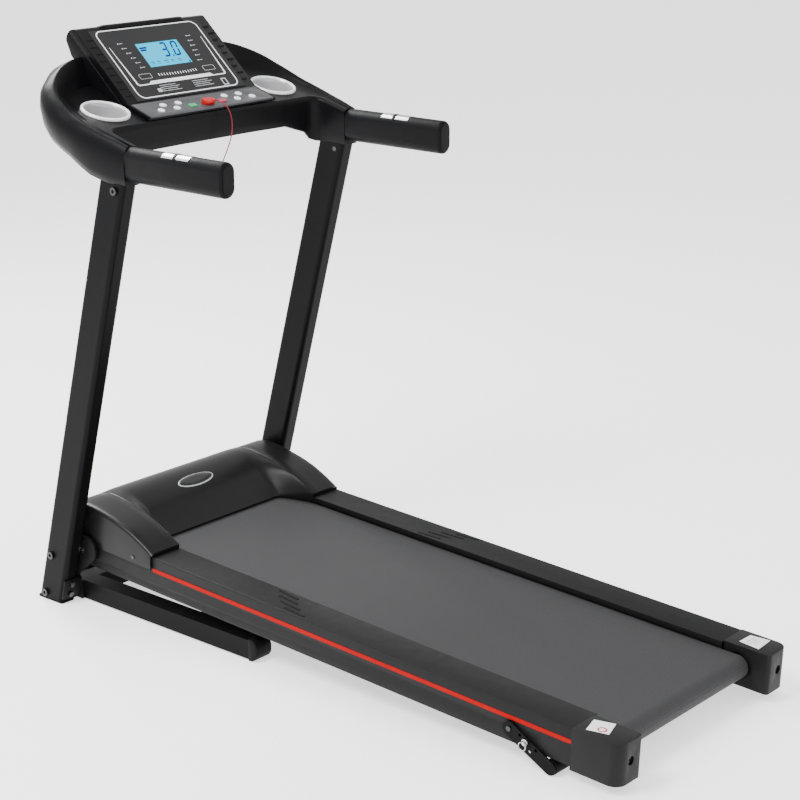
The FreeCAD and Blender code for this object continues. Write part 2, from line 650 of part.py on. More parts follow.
def end_caps():
    """Moulded caps that close the rear ends of the rails and hide the roller's axle ends."""
    rear = -HALF_LENGTH
    front = rear + CAP_LENGTH
    low = RAIL_TOP - RAIL_HEIGHT - 7
    cap = block(RAIL_IN + 6, RAIL_OUT + 0.5, rear, front, low, RAIL_TOP + 0.5)
    corner = [e for e in cap.Edges
              if abs(e.Vertexes[0].Y - rear) < 0.01 and abs(e.Vertexes[1].Y - rear) < 0.01
              and abs(e.Vertexes[0].X - e.Vertexes[1].X) < 0.01 and e.Vertexes[0].X > RAIL_OUT]
    cap = cap.makeFillet(24.0, corner)
    belt_side = [e for e in cap.Edges
                 if abs(e.Vertexes[0].Y - rear) < 0.01 and abs(e.Vertexes[1].Y - rear) < 0.01
                 and abs(e.Vertexes[0].X - e.Vertexes[1].X) < 0.01 and e.Vertexes[0].X < RAIL_IN + 7]
    cap = cap.makeFillet(8.0, belt_side)
    cavity = block(RAIL_IN + 12, RAIL_OUT - SHELL, rear + 8, front + 1, low + SHELL, RAIL_TOP - SHELL)
    inner_corner = [e for e in cavity.Edges
                    if abs(e.Vertexes[0].Y - rear - 8) < 0.01 and abs(e.Vertexes[1].Y - rear - 8) < 0.01
                    and abs(e.Vertexes[0].X - e.Vertexes[1].X) < 0.01 and e.Vertexes[0].X > RAIL_OUT - 9]
    cavity = cavity.makeFillet(20.0, inner_corner)
    cap = cap.cut(cavity)
    z = axle_level()
    cap = cap.cut(block(RAIL_IN, RAIL_IN + 13, REAR_ROLLER_Y - 13, front + 1, z - AXLE_R - 1, z + AXLE_R + 1))
    cap = cap.cut(rod_x(RAIL_IN, RAIL_IN + 9.5, REAR_ROLLER_Y, z, ROLLER_R + 4.5))
    cap = cap.cut(rod_y(adjuster_x(), rear - 1, rear + 9, z, 8.5))
    return pair(tipped(cap))


# ---- motor bay ---------------------------------------------------------------------------------------
def drive_motor():
    """Motor can with its end bells, sitting on a saddle bolted to the cross tube."""
    can = rod_x(-150, 30, MOTOR_Y, MOTOR_LEVEL, MOTOR_R)
    can = can.cut(rod_x(-151, -110, MOTOR_Y, MOTOR_LEVEL, 8.0 + PIN_FIT))
    seat = tube_level() + 30
    saddle = block(-135, 15, MOTOR_Y - 34, MOTOR_Y + 34, seat, seat + 26)
    saddle = saddle.cut(rod_x(-160, 40, MOTOR_Y, MOTOR_LEVEL, MOTOR_R - 0.2))
    return tipped(can.fuse(saddle))


def motor_rotor():
    """Motor shaft with its flywheel and the small drive pulley."""
    end = -PULLEY_MID - PULLEY_WIDE / 2
    shaft = rod_x(end, -112, MOTOR_Y, MOTOR_LEVEL, 8.0)
    wheel = rod_x(-194, -158, MOTOR_Y, MOTOR_LEVEL, FLYWHEEL_R)
    wheel = wheel.cut(rod_x(-195, -184, MOTOR_Y, MOTOR_LEVEL, FLYWHEEL_R - 8))
    pulley = rod_x(end, end + PULLEY_WIDE, MOTOR_Y, MOTOR_LEVEL, MOTOR_PULLEY_R - TOUCH)
    return tipped(shaft.fuse([wheel, pulley]))


def drive_belt():
    """Ribbed belt from the motor pulley to the front roller's pulley."""
    x0 = -PULLEY_MID - PULLEY_WIDE / 2 + 1
    return tipped(belt_loop(FRONT_ROLLER_Y, axle_level(), ROLLER_PULLEY_R, MOTOR_Y, MOTOR_LEVEL,
                            MOTOR_PULLEY_R, DRIVE_BELT_THICK, x0, x0 + PULLEY_WIDE - 2))


def motor_controller():
    """Circuit board with its finned heat sink."""
    seat = tube_level() + 30
    board = block(60, 190, MOTOR_Y - 34, MOTOR_Y + 34, seat, seat + 6)
    sink = block(70, 180, MOTOR_Y - 30, MOTOR_Y + 4, seat + 6, seat + 34)
    for step in range(7):
        y = MOTOR_Y - 27 + 4.4 * step
        sink = sink.cut(block(69, 181, y, y + 2.4, seat + 12, seat + 35))
    coil = Part.makeCylinder(14, 24, Vector(150, MOTOR_Y + 19, seat + 6))
    return tipped(board.fuse([sink, coil]))


def motor_pan():
    """Flat cover under the motor bay."""
    low = RAIL_TOP - RAIL_HEIGHT
    half = TUBE_IN + TUBE_WIDE + 1.5
    return tipped(block(-half, half, FRONT_ROLLER_Y + 30, DECK_FRONT - 4, low, low + 2))


def hood_profile(low):
    """Side outline of the motor hood in the deck's own frame."""
    rear = DECK_FRONT - 184
    return [(rear, low), (rear, 88.0), ((rear + 54, HOOD_PEAK - 28), (rear + 120, HOOD_PEAK - 1.5)),
            ((DECK_FRONT - 24, HOOD_PEAK - 7), (DECK_FRONT, 118.0)), (DECK_FRONT, low)]


def motor_hood():
    """Middle of the motor cover, between the rails, with its front wall."""
    low = RAIL_TOP - RAIL_HEIGHT
    half = RAIL_IN - 1.4
    outer = side_prism(hood_profile(low), -half, half)
    inner = across(inset(side_wire(hood_profile(low)), SHELL), -half + SHELL, half - SHELL)
    hood = outer.cut(inner)
    hood = hood.cut(block(-half - 1, half + 1, DECK_FRONT - 276, DECK_FRONT - SHELL, 0,
                          RAIL_TOP - BELT_DROP + 3))
    for side in (-1, 1):
        x0 = side * half - 4
        hood = hood.cut(block(x0, x0 + 8, DECK_FRONT - 276, DECK_FRONT - SHELL, 0, 130))
    hood = hood.cut(block(-176, -84, DECK_FRONT - 6, DECK_FRONT + 1, 44, 82))
    return tipped(hood)


def wing_profile(low):
    """Side outline of the hood's side cover in the deck's own frame."""
    rear = DECK_FRONT - 260
    return [(rear, low), (rear, 99.0), ((rear + 52, 131.0), (rear + 114, 146.0)),
            ((rear + 200, 156.0), (DECK_FRONT, 118.0)), (DECK_FRONT, low)]


def hood_sides():
    """Side covers of the motor hood, which lap over the front ends of the foot rails."""
    skirt = RAIL_TOP - STRIPE_DROP
    low = RAIL_TOP - RAIL_HEIGHT
    base = RAIL_TOP + 0.2
    inside = RAIL_IN - 1.4
    outer = side_prism(wing_profile(base), inside, HOOD_OUT)
    inner = across(inset(side_wire(wing_profile(base - 20)), 2.5), inside - 1, HOOD_OUT - 2.5)
    inner_wall = outer.common(block(inside, inside + 2.5, DECK_FRONT - 276, MOTOR_Y - 25, 0, 200))
    wing = outer.cut(inner).fuse(inner_wall)
    wall = block(HOOD_OUT - 2.5, HOOD_OUT, DECK_FRONT - 260, DECK_FRONT, skirt, base)
    front = block(inside, HOOD_OUT, DECK_FRONT - SHELL, DECK_FRONT, low, base)
    wing = wing.fuse([wall, front]).removeSplitter()
    return pair(tipped(wing).cut(latch_holes(HOOD_OUT - 5, HOOD_OUT + 5, LATCH_R + 0.7)))


def power_inlet():
    """Mains socket and the frame of the rocker switch, in the hood's front wall."""
    front = DECK_FRONT
    plate = block(-176, -84, front - 6, front + 1.5, 44, 82)
    plate = plate.cut(block(-170, -140, front - 4, front + 2, 51, 75))
    pins = []
    for x in (-163, -155, -147):
        pins.append(block(x - 1, x + 1, front - 5, front, 60, 66))
    plate = plate.fuse(pins)
    plate = plate.cut(block(ROCKER_X - 7, ROCKER_X + 7, front - 9, front + 2, 63 - 10.5, 63 + 10.5))
    return tipped(plate)


ROCKER_X = -108.0
ROCKER_TURN = 8.0


def power_switch():
    """Rocker of the mains switch, tipped to its off side."""
    front = DECK_FRONT
    rocker = block(ROCKER_X - 6.5, ROCKER_X + 6.5, front - 5, front + 3, 63 - 9.6, 63 + 9.6)
    rocker.rotate(Vector(0, front - 1, 63), X_AXIS, ROCKER_TURN)
    return tipped(rocker)


# ---- incline feet ------------------------------------------------------------------------------------
def incline_foot(side):
    """Forked steel leg under the rear of a rail: two plates joined by a spacer and the roller's axle."""
    outer = capsule(FOOT_PIVOT_Y, FOOT_PIVOT_Z, 14.0, FOOT_ROLLER_Y, FOOT_ROLLER_R, 13.0,
                    FOOT_OUT_FACE, FOOT_OUT_FACE + FOOT_PLATE)
    inner = capsule(FOOT_PIVOT_Y, FOOT_PIVOT_Z, 14.0, FOOT_ROLLER_Y, FOOT_ROLLER_R, 13.0,
                    FOOT_IN_FACE - FOOT_PLATE, FOOT_IN_FACE)
    for gap, hole_z in ((24.0, 56.4), (45.0, 31.0), (59.0, 38.0)):
        hole_y = FOOT_PIVOT_Y - gap
        outer = outer.cut(rod_x(FOOT_OUT_FACE - 1, FOOT_OUT_FACE + 5, hole_y, hole_z, 3.0))
    outer = outer.cut(rod_x(FOOT_OUT_FACE - 1, FOOT_OUT_FACE + 5, LOCK_PIN_Y, LOCK_PIN_Z,
                            LOCK_PIN_R + PIN_FIT))
    axle = rod_x(FOOT_IN_FACE - FOOT_PLATE, FOOT_OUT_FACE + FOOT_PLATE, FOOT_ROLLER_Y, FOOT_ROLLER_R, 4.0)
    spacer = rod_x(FOOT_IN_FACE - FOOT_PLATE, FOOT_OUT_FACE + FOOT_PLATE, FOOT_PIVOT_Y - 62, 21.5, 4.0)
    foot = outer.fuse([inner, axle, spacer])
    foot = foot.cut(rod_x(0, 400, FOOT_PIVOT_Y, FOOT_PIVOT_Z, 5.0 + PIN_FIT))
    return foot if side > 0 else mirrored(foot)


def foot_roller(side):
    """Rubber roller between the foot's plates, standing on the floor."""
    x0, x1 = FOOT_IN_FACE + 1, FOOT_OUT_FACE - 1
    roller = rod_x(x0, x1, FOOT_ROLLER_Y, FOOT_ROLLER_R, FOOT_ROLLER_R)
    roller = roller.cut(rod_x(x0 - 1, x1 + 1, FOOT_ROLLER_Y, FOOT_ROLLER_R, 4.0 + PIN_FIT))
    return roller if side > 0 else mirrored(roller)


def incline_pin(side):
    """Quick-release pin with its pull ring."""
    face = FOOT_OUT_FACE + FOOT_PLATE
    pin = rod_x(RAIL_OUT - 12, face + 1, LOCK_PIN_Y, LOCK_PIN_Z, LOCK_PIN_R)
    head = rod_x(face + 0.5, face + 7, LOCK_PIN_Y, LOCK_PIN_Z, 6.5)
    ring = Part.makeTorus(7.5, 1.1, Vector(face + 9, LOCK_PIN_Y + 3, LOCK_PIN_Z - 7), X_AXIS)
    neck = rod_x(face + 6, face + 10, LOCK_PIN_Y, LOCK_PIN_Z, 2.0)
    pin = pin.fuse([head, neck, ring])
    return pin if side > 0 else mirrored(pin)


# ---- shroud ------------------------------------------------------------------------------------------
def plan_wire(grow, corner, front, notch_half, notch_y):
    """Plan outline of the shroud: two arms joined round the front of the console."""
    side = SHROUD_HALF + grow
    arc_y = front - corner
    arm = side - 18
    diagonal = corner * math.cos(math.radians(45))
    centre = side - corner
    rear = ARM_REAR - grow

    def at(x, y):
        return Vector(x, y, 0)

    right = [at(notch_half, notch_y), at(notch_half, rear), at(arm, rear),
             (at(side - 5, (rear + arc_y) / 2), at(side, arc_y)),
             (at(centre + diagonal, arc_y + diagonal), at(centre, front)),
             at(-centre, front),
             (at(-centre - diagonal, arc_y + diagonal), at(-side, arc_y)),
             (at(-side + 5, (rear + arc_y) / 2), at(-arm, rear)),
             at(-notch_half, rear), at(-notch_half, notch_y)]
    return outline(right)


def plan_prism(wire):
    """Tall solid over a plan outline."""
    face = Part.Face(wire)
    face.translate(Vector(0, 0, 860 + HEAD_UP))
    return face.extrude(Vector(0, 0, 340))


def shelf_z(y):
    """Height of the shelf that the console and the cup holders sit on."""
    return SHELF_Z + SHELF_RISE * (y - SHELF_Y)


def shroud_side(lift_low, drop_top):
    """Side outline of the shroud between its lower skin and its rim."""
    rear = 380.0 + HEAD_ALONG
    rim = HEAD_UP - drop_top
    foot = HEAD_UP + lift_low
    top = [(SHROUD_FRONT + 6, 1084.0 + rim), (SHROUD_FRONT - 32, 1112.0 + rim),
           ((rear + 224, 1060.0 + rim), (rear + 105, 1013.0 + rim)), (rear, 980.0 + rim)]
    low = [(rear, 908.0 + foot), (rear + 60, 908.0 + foot), (rear + 165, 946.0 + foot),
           (SHROUD_FRONT + 6, 1010.0 + foot)]
    return low + top


def bowl():
    """Space inside the shroud's rim, above the shelf."""
    corner = 125.0
    side = SHROUD_HALF - 42
    front = SHROUD_FRONT - 48
    centre = side - corner
    diagonal = corner * math.cos(math.radians(45))
    base_y = BEAM_Y - 8
    wire = outline([Vector(side, base_y, 0), Vector(side, front - corner, 0),
                    (Vector(centre + diagonal, front - corner + diagonal, 0), Vector(centre, front, 0)),
                    Vector(-centre, front, 0),
                    (Vector(-centre - diagonal, front - corner + diagonal, 0),
                     Vector(-side, front - corner, 0)),
                    Vector(-side, base_y, 0)])
    y0, y1 = BEAM_Y - 78, BEAM_Y + 282
    top = SHELF_Z + 294
    above = side_prism([(y0, shelf_z(y0)), (y1, shelf_z(y1)), (y1, top), (y0, top)], -400, 400)
    return plan_prism(wire).common(above)


def cup_axis_solid(side, radius, below, above):
    """Round bar square to the shelf, centred on a cup holder."""
    tilt = math.radians(POST_LEAN)
    up = Vector(0, -math.sin(tilt), math.cos(tilt))
    base = Vector(side * CUP_X, CUP_Y, shelf_z(CUP_Y)) - up * below
    return Part.makeCylinder(radius, below + above, base, up)


def shroud_body():
    """Whole hollow shroud before it is split into its two mouldings."""
    inner_face = POST_MID - POST_WIDE / 2
    solid = plan_prism(plan_wire(0, 160.0, SHROUD_FRONT, inner_face, BEAM_Y))
    solid = solid.common(side_prism(shroud_side(0, 0), -400, 400))
    solid = solid.cut(bowl())
    room = plan_prism(plan_wire(-SHELL, 157.0, SHROUD_FRONT - SHELL, inner_face + SHELL, BEAM_Y + SHELL))
    rear = 380.0 + HEAD_ALONG
    foot = HEAD_UP + SHELL
    under = [(rear, 908.0 + foot), (rear + 60, 908.0 + foot), (rear + 165, 946.0 + foot),
             (SHROUD_FRONT, 1009.0 + foot), (SHROUD_FRONT, shelf_z(SHROUD_FRONT) - SHELL),
             (rear, shelf_z(rear) - SHELL)]
    solid = solid.cut(room.common(side_prism(under, -400, 400)))
    for side in (-1, 1):
        solid = solid.cut(cup_axis_solid(side, CUP_R - 5, 20, 60))
    post = post_bar().common(block(200, 400, BEAM_Y - 178, BEAM_Y + 322, POST_TOP - 122, POST_TOP))
    core = handle_core_bar(0)
    for shape in (post, core):
        solid = solid.cut(shape)
        solid = solid.cut(mirrored(shape))
    return solid


def split_plane(drop):
    """Everything below the joint line of the shroud's two mouldings."""
    y0, y1, low = BEAM_Y - 138, BEAM_Y + 282, SHELF_Z - 206
    return side_prism([(y0, low), (y1, low), (y1, shelf_z(y1) - drop), (y0, shelf_z(y0) - drop)],
                      -400, 400)


def shroud_parts():
    """Upper and lower mouldings of the shroud."""
    body = shroud_body()
    below = split_plane(30.0)
    body = body.cut(across(side_wire(console_outline()), -CONSOLE_HALF, CONSOLE_HALF))
    lower = body.common(below)
    upper = body.cut(below)
    return upper, lower


def cup_holders():
    """Cup inserts: a ring on the shelf and a tapering cup through it."""
    cups = []
    for side in (-1, 1):
        ring = cup_axis_solid(side, CUP_R, 0, 5)
        wall = cup_axis_solid(side, CUP_R - 5, CUP_DEEP, 0)
        hollow = cup_axis_solid(side, CUP_R - 8, CUP_DEEP - 3, 6)
        cups.append(ring.fuse(wall).cut(hollow))
    return cups


# ---- grips -------------------------------------------------------------------------------------------
def oval_y(wide, tall, y0, y1):
    """Bar along the machine with an upright oval section, centred on the right grip."""
    r = wide / 2
    flat = tall / 2 - r
    x, z = POST_MID, GRIP_Z
    wire = outline([Vector(x - r, y0, z - flat),
                    (Vector(x, y0, z - tall / 2), Vector(x + r, y0, z - flat)),
                    Vector(x + r, y0, z + flat),
                    (Vector(x, y0, z + tall / 2), Vector(x - r, y0, z + flat))])
    return Part.Face(wire).extrude(Vector(0, y1 - y0, 0))


def handle_core_bar(wall):
    """Oval bar of the steel tube inside a grip, less a wall all round."""
    return oval_y(26.0 - 2 * wall, 50.0 - 2 * wall, GRIP_REAR + 12 - wall, BEAM_Y - 26 + wall)


def handle_cores():
    """Steel tubes that carry the grips, welded to the tops of the uprights."""
    return pair(handle_core_bar(0).cut(handle_core_bar(TUBE_WALL)))


def grip_bar():
    """Outside shape of the right grip."""
    bar = oval_y(GRIP_WIDE, GRIP_TALL, GRIP_REAR, ARM_REAR)
    rear = [edge for edge in bar.Edges
            if edge.Vertexes[0].Y < GRIP_REAR + 1 and edge.Vertexes[-1].Y < GRIP_REAR + 1]
    return bar.makeFillet(6.0, rear)


def grips():
    """Moulded grips over the handle tubes."""
    return pair(grip_bar().cut(handle_core_bar(0)))


def pulse_plates():
    """Pairs of metal contacts on top of each grip."""
    skin = oval_y(GRIP_WIDE + 1.6, GRIP_TALL + 1.6, GRIP_REAR + 10, ARM_REAR - 10)
    skin = skin.cut(grip_bar())
    plates = []
    for y0, y1 in ((GRIP_REAR + 87, GRIP_REAR + 121), (GRIP_REAR + 124, GRIP_REAR + 158)):
        plate = skin.common(block(POST_MID - 15, POST_MID + 15, y0, y1, GRIP_Z + 20, GRIP_Z + 60))
        plates += [plate, mirrored(plate)]
    return Part.makeCompound(plates)


# ---- console -----------------------------------------------------------------------------------------
def panel_direction():
    """Unit vector up the display panel."""
    run = Vector(0, PANEL_TOP_Y - PANEL_Y, PANEL_TOP_Z - PANEL_Z)
    return run.normalize()


def panel_normal():
    """Unit vector out of the display panel, towards the user."""
    up = panel_direction()
    return Vector(0, -up.z, up.y)


def strip_direction():
    """Unit vector up the button strip."""
    run = Vector(0, PANEL_Y - SHELF_Y, PANEL_Z - STRIP_FRONT_Z)
    return run.normalize()


def strip_normal():
    """Unit vector out of the button strip."""
    up = strip_direction()
    return Vector(0, -up.z, up.y)


def panel_block(x0, x1, low, high, deep, proud):
    """Box laid on the display panel: low and high are measured up the panel."""
    base = Vector(0, PANEL_Y, PANEL_Z)
    shape = Part.makeBox(x1 - x0, high - low, proud - deep, Vector(x0, low, deep))
    tilt = math.degrees(math.atan2(panel_direction().z, panel_direction().y))
    shape.rotate(Vector(0, 0, 0), X_AXIS, tilt)
    shape.translate(base)
    return shape


def strip_block(x0, x1, low, high, deep, proud):
    """Box laid on the button strip: low and high are measured up the strip."""
    shape = Part.makeBox(x1 - x0, high - low, proud - deep, Vector(x0, low, deep))
    tilt = math.degrees(math.atan2(strip_direction().z, strip_direction().y))
    shape.rotate(Vector(0, 0, 0), X_AXIS, tilt)
    shape.translate(Vector(0, SHELF_Y, STRIP_FRONT_Z))
    return shape


def strip_rod(x, along, radius, deep, proud):
    """Round bar square to the button strip."""
    normal = strip_normal()
    base = Vector(x, SHELF_Y, STRIP_FRONT_Z) + strip_direction() * along + normal * deep
    return Part.makeCylinder(radius, proud - deep, base, normal)


def console_outline():
    """Side outline of the console housing, above the shelf."""
    back_y = PANEL_TOP_Y - 57
    return [(SHELF_Y, SHELF_Z), (SHELF_Y, STRIP_FRONT_Z), (PANEL_Y, PANEL_Z), (PANEL_TOP_Y, PANEL_TOP_Z),
            ((PANEL_TOP_Y + 22, PANEL_TOP_Z - 3.5), (PANEL_TOP_Y + 31, PANEL_TOP_Z - 21.5)),
            (PANEL_TOP_Y + 17, PANEL_TOP_Z - 51.5), (back_y, shelf_z(back_y))]


def console_housing():
    """Hollow console housing with the recess for the button strip and the display window."""
    wire = side_wire(console_outline())
    solid = across(wire, -CONSOLE_HALF, CONSOLE_HALF)
    hollow = across(inset(wire, SHELL), -CONSOLE_HALF + SHELL, CONSOLE_HALF - SHELL)
    length = math.hypot(PANEL_Y - SHELF_Y, PANEL_Z - STRIP_FRONT_Z)
    recess = strip_block(-STRIP_HALF, STRIP_HALF, -2, length - 1.5, -STRIP_THICK, 20)
    floor = strip_block(-STRIP_HALF, STRIP_HALF, 3, length, -STRIP_THICK - SHELL, -STRIP_THICK)
    solid = solid.cut(hollow).cut(recess)
    floor = floor.common(across(wire, -CONSOLE_HALF, CONSOLE_HALF))
    solid = solid.fuse(floor)
    window = panel_block(-LCD_WIDE / 2, LCD_WIDE / 2, LCD_FROM_EDGE - LCD_TALL / 2,
                         LCD_FROM_EDGE + LCD_TALL / 2, -10, 5)
    return solid.cut(window).removeSplitter()


def console_parts():
    """Front and back mouldings of the console, split parallel to the panel."""
    body = console_housing()
    front_zone = panel_block(-200, 200, -200, 400, -16, 200)
    front = body.common(front_zone)
    back = body.cut(front_zone)
    return front, back


def button_strip():
    """Plate that carries the push buttons and the safety key's socket."""
    length = math.hypot(PANEL_Y - SHELF_Y, PANEL_Z - STRIP_FRONT_Z)
    plate = strip_block(-STRIP_HALF, STRIP_HALF, 0, length - 1.5, -STRIP_THICK, 0)
    for x, along in round_button_places():
        plate = plate.cut(strip_rod(x, along, BUTTON_R + BUTTON_GAP, -10, 5))
    gap = BUTTON_GAP
    for x in (-START_STOP_X, START_STOP_X):
        plate = plate.cut(strip_block(x - 9 - gap, x + 9 + gap, ROW_FRONT - 6 - gap, ROW_FRONT + 6 + gap,
                                      -10, 5))
    return plate.cut(strip_block(-7 - gap, 7 + gap, ROW_FRONT - 4 - gap, ROW_FRONT + 4 + gap, -3, 5))


def round_button_places():
    """(x, distance up the strip) of the eight round buttons."""
    places = []
    for x in FRONT_ROW_X:
        places.append((x, ROW_FRONT))
    for x in BACK_ROW_X:
        places.append((x, ROW_BACK))
    return places


def round_button(x, along):
    """Domed push button."""
    button = strip_rod(x, along, BUTTON_R, -BUTTON_DEEP, BUTTON_PROUD)
    top = max(button.Edges, key=lambda e: e.CenterOfMass.dot(strip_normal())
              if e.Curve.TypeId == "Part::GeomCircle" else -1e9)
    return button.makeFillet(1.2, [top])


def square_button(x):
    """Start or stop button."""
    return strip_block(x - 9, x + 9, ROW_FRONT - 6, ROW_FRONT + 6, -BUTTON_DEEP, BUTTON_PROUD)


def safety_key():
    """Magnetic safety key: a plug in the strip and a finger piece above it."""
    plug = strip_block(-7, 7, ROW_FRONT - 4, ROW_FRONT + 4, -2.6, 0.5)
    body = strip_block(-14, 14, ROW_FRONT - 9, ROW_FRONT + 9, 0.5, 8.5)
    upright = [e for e in body.Edges if abs((e.Vertexes[1].Point - e.Vertexes[0].Point).dot(strip_normal()))
               > 7]
    body = body.makeFillet(7.0, upright)
    heading = (Vector(*CORD_ROUTE[1]) - Vector(*CORD_ROUTE[0])).normalize()
    start = Vector(CORD_ROUTE[0][0], SHELF_Y + 5, STRIP_FRONT_Z + 12)
    boss = Part.makeCylinder(2.4, 9, start - heading * 9, heading)
    return plug.fuse([body, boss])


def display_overlay():
    """Printed film over the display panel, open at the display."""
    film = panel_block(-OVERLAY_HALF, OVERLAY_HALF, 4, 192, 0, OVERLAY_THICK)
    return film.cut(panel_block(-LCD_WIDE / 2 + 2, LCD_WIDE / 2 - 2, LCD_FROM_EDGE - LCD_TALL / 2 + 2,
                                LCD_FROM_EDGE + LCD_TALL / 2 - 2, -1, 5))


def display_lcd():
    """Liquid crystal display behind its window."""
    return panel_block(-LCD_WIDE / 2, LCD_WIDE / 2, LCD_FROM_EDGE - LCD_TALL / 2,
                       LCD_FROM_EDGE + LCD_TALL / 2, -4, 0)


def console_board():
    """Circuit board behind the display."""
    return panel_block(-120, 120, 40, 160, -11, -9)


# ---- safety cord -------------------------------------------------------------------------------------
def cord_path(points):
    """Straight runs joined by tangent arcs, each arc as large as its two runs allow."""
    corners = []
    for index in range(1, len(points) - 1):
        before, here, after = points[index - 1], points[index], points[index + 1]
        inward = (here - before).normalize()
        outward = (after - here).normalize()
        turn = inward.getAngle(outward)
        shorter = min((here - before).Length, (after - here).Length)
        trim = 0.45 * shorter
        radius = trim / math.tan(turn / 2)
        first = here - inward * trim
        last = here + outward * trim
        bisector = (outward - inward).normalize()
        centre = here + bisector * (radius / math.cos(turn / 2))
        corners.append((first, centre - bisector * radius, last, radius))
    edges = []
    here = points[0]
    for first, middle, last, radius in corners:
        edges.append(Part.LineSegment(here, first).toShape())
        edges.append(Part.Arc(first, middle, last).toShape())
        here = last
    edges.append(Part.LineSegment(here, points[-1]).toShape())
    print("cord radii", [round(corner[3], 1) for corner in corners])
    return Part.Wire(edges)


def safety_cord():
    """Thin cord from the key to its clip."""
    points = [Vector(*place) for place in CORD_ROUTE]
    path = cord_path(points)
    heading = (points[1] - points[0]).normalize()
    section = Part.Wire([Part.makeCircle(CORD_R, points[0], heading)])
    tube = path.makePipeShell([section], True, True)
    print("cord length", round(path.Length, 1), "volume ratio",
          round(tube.Volume / (math.pi * CORD_R ** 2 * path.Length), 4))
    return tube


def safety_clip():
    """Small spring clip on the end of the cord."""
    end = Vector(*CORD_ROUTE[-1])
    body = block(end.x - 5.5, end.x + 5.5, end.y - 3.5, end.y + 3.5, end.z - 33, end.z - 5)
    neck = Part.makeCylinder(2.4, 6, Vector(end.x, end.y, end.z - 6))
    jaw = block(end.x - 6, end.x + 6, end.y - 0.6, end.y + 0.6, end.z - 34, end.z - 18)
    return body.fuse(neck).cut(jaw)


# ---- everything --------------------------------------------------------------------------------------
def write_base():
    save("base_frame", Part.makeCompound([base_tubes(), base_cross_tubes()]))
    save("base_plates", base_plates())
    save("base_feet", base_feet())
    save("uprights", Part.makeCompound([uprights(), handle_cores()]))
    save("frame_bolts", frame_bolts())
    save("fold_pivot_pins", fold_pivot_pins())
    save("fold_latch", fold_latch())
    save("transport_wheel_left", transport_wheel(-1))
    save("transport_wheel_right", transport_wheel(1))


def write_deck():
    save("deck_side_tubes", deck_side_tubes())
    save("deck_cross_tubes", deck_cross_tubes())
    save("deck_board", deck_board())
    save("deck_cushions", deck_cushions())
    save("running_belt", running_belt())
    save("front_roller", front_roller())
    save("rear_roller", rear_roller())
    save("roller_axles", roller_axles())
    save("deck_fasteners", deck_fasteners())
    save("rail_covers", rail_covers())
    save("side_stripes", side_stripes())
    save("end_caps", end_caps())
    for name, side in (("left", -1), ("right", 1)):
        save("incline_foot_" + name, incline_foot(side))
        save("foot_roller_" + name, foot_roller(side))
        save("incline_pin_" + name, incline_pin(side))


def write_motor_bay():
    save("drive_motor", drive_motor())
    save("motor_rotor", motor_rotor())
    save("drive_belt", drive_belt())
    save("motor_controller", motor_controller())
    save("motor_pan", motor_pan())
    save("motor_hood", motor_hood())
    save("hood_sides", hood_sides())
    save("power_inlet", power_inlet())
    save("power_switch", power_switch())


def write_console():
    upper, lower = shroud_parts()
    save("shroud_upper", upper)
    save("shroud_lower", lower)
    save("cup_holders", Part.makeCompound(cup_holders()))
    save("grips", grips())
    save("pulse_plates", pulse_plates())
    front, back = console_parts()
    save("console_front", front)
    save("console_back", back)
    save("button_strip", button_strip())
    save("display_overlay", display_overlay())
    save("display_lcd", display_lcd())
    save("console_board", console_board())
    for number, (x, along) in enumerate(round_button_places(), start=1):
        save("button_" + str(number), round_button(x, along))
    save("start_button", square_button(-START_STOP_X))
    save("stop_button", square_button(START_STOP_X))
    save("safety_key", safety_key())
    save("safety_cord", safety_cord())
    save("safety_clip", safety_clip())


os.makedirs("parts", exist_ok=True)
write_base()
write_deck()
write_motor_bay()
write_console()
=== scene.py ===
"""Folding home treadmill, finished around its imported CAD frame."""
import bpy
import bmesh
import math
from mathutils import Matrix, Vector


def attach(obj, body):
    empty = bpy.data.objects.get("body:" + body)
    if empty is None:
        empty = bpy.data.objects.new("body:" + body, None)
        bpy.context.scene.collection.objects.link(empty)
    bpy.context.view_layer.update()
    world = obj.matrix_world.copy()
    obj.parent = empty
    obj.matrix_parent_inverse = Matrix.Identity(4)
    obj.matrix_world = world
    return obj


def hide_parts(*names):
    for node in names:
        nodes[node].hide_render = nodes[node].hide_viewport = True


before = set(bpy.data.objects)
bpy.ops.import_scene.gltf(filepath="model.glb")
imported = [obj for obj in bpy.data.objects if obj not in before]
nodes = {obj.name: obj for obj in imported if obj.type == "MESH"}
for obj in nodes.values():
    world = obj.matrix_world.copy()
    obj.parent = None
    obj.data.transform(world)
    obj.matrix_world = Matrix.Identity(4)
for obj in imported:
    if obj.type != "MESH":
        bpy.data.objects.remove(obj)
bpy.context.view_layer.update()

# ---- camera, floor and light -----------------------------------------
# The machine stands on a pale studio floor, seen from behind its left rear corner at eye height
# with a long lens, under three soft boxes and a bright room.
eye = Vector((-2.8137, -2.4040, 1.6219))
look = Vector((0.7280, 0.6210, -0.2912))
camera_data = bpy.data.cameras.new("camera")
camera_data.sensor_width = 36.0
camera_data.lens = 90.47  # millimetres
camera_data.clip_end = 60.0


def shown(name, data):
    """A new object in the scene."""
    piece = bpy.data.objects.new(name, data)
    bpy.context.scene.collection.objects.link(piece)
    return piece


camera = shown("camera", camera_data)
camera.matrix_world = Matrix.Translation(eye) @ look.to_track_quat("-Z", "Y").to_matrix().to_4x4()
bpy.context.scene.camera = camera


def soft_box(name, place, aim, width, power):
    """Square studio light that faces a point."""
    lamp = bpy.data.lights.new(name, "AREA")
    lamp.energy = power
    lamp.size = width
    turn = (Vector(aim) - Vector(place)).to_track_quat("-Z", "Y").to_matrix().to_4x4()
    shown(name, lamp).matrix_world = Matrix.Translation(place) @ turn


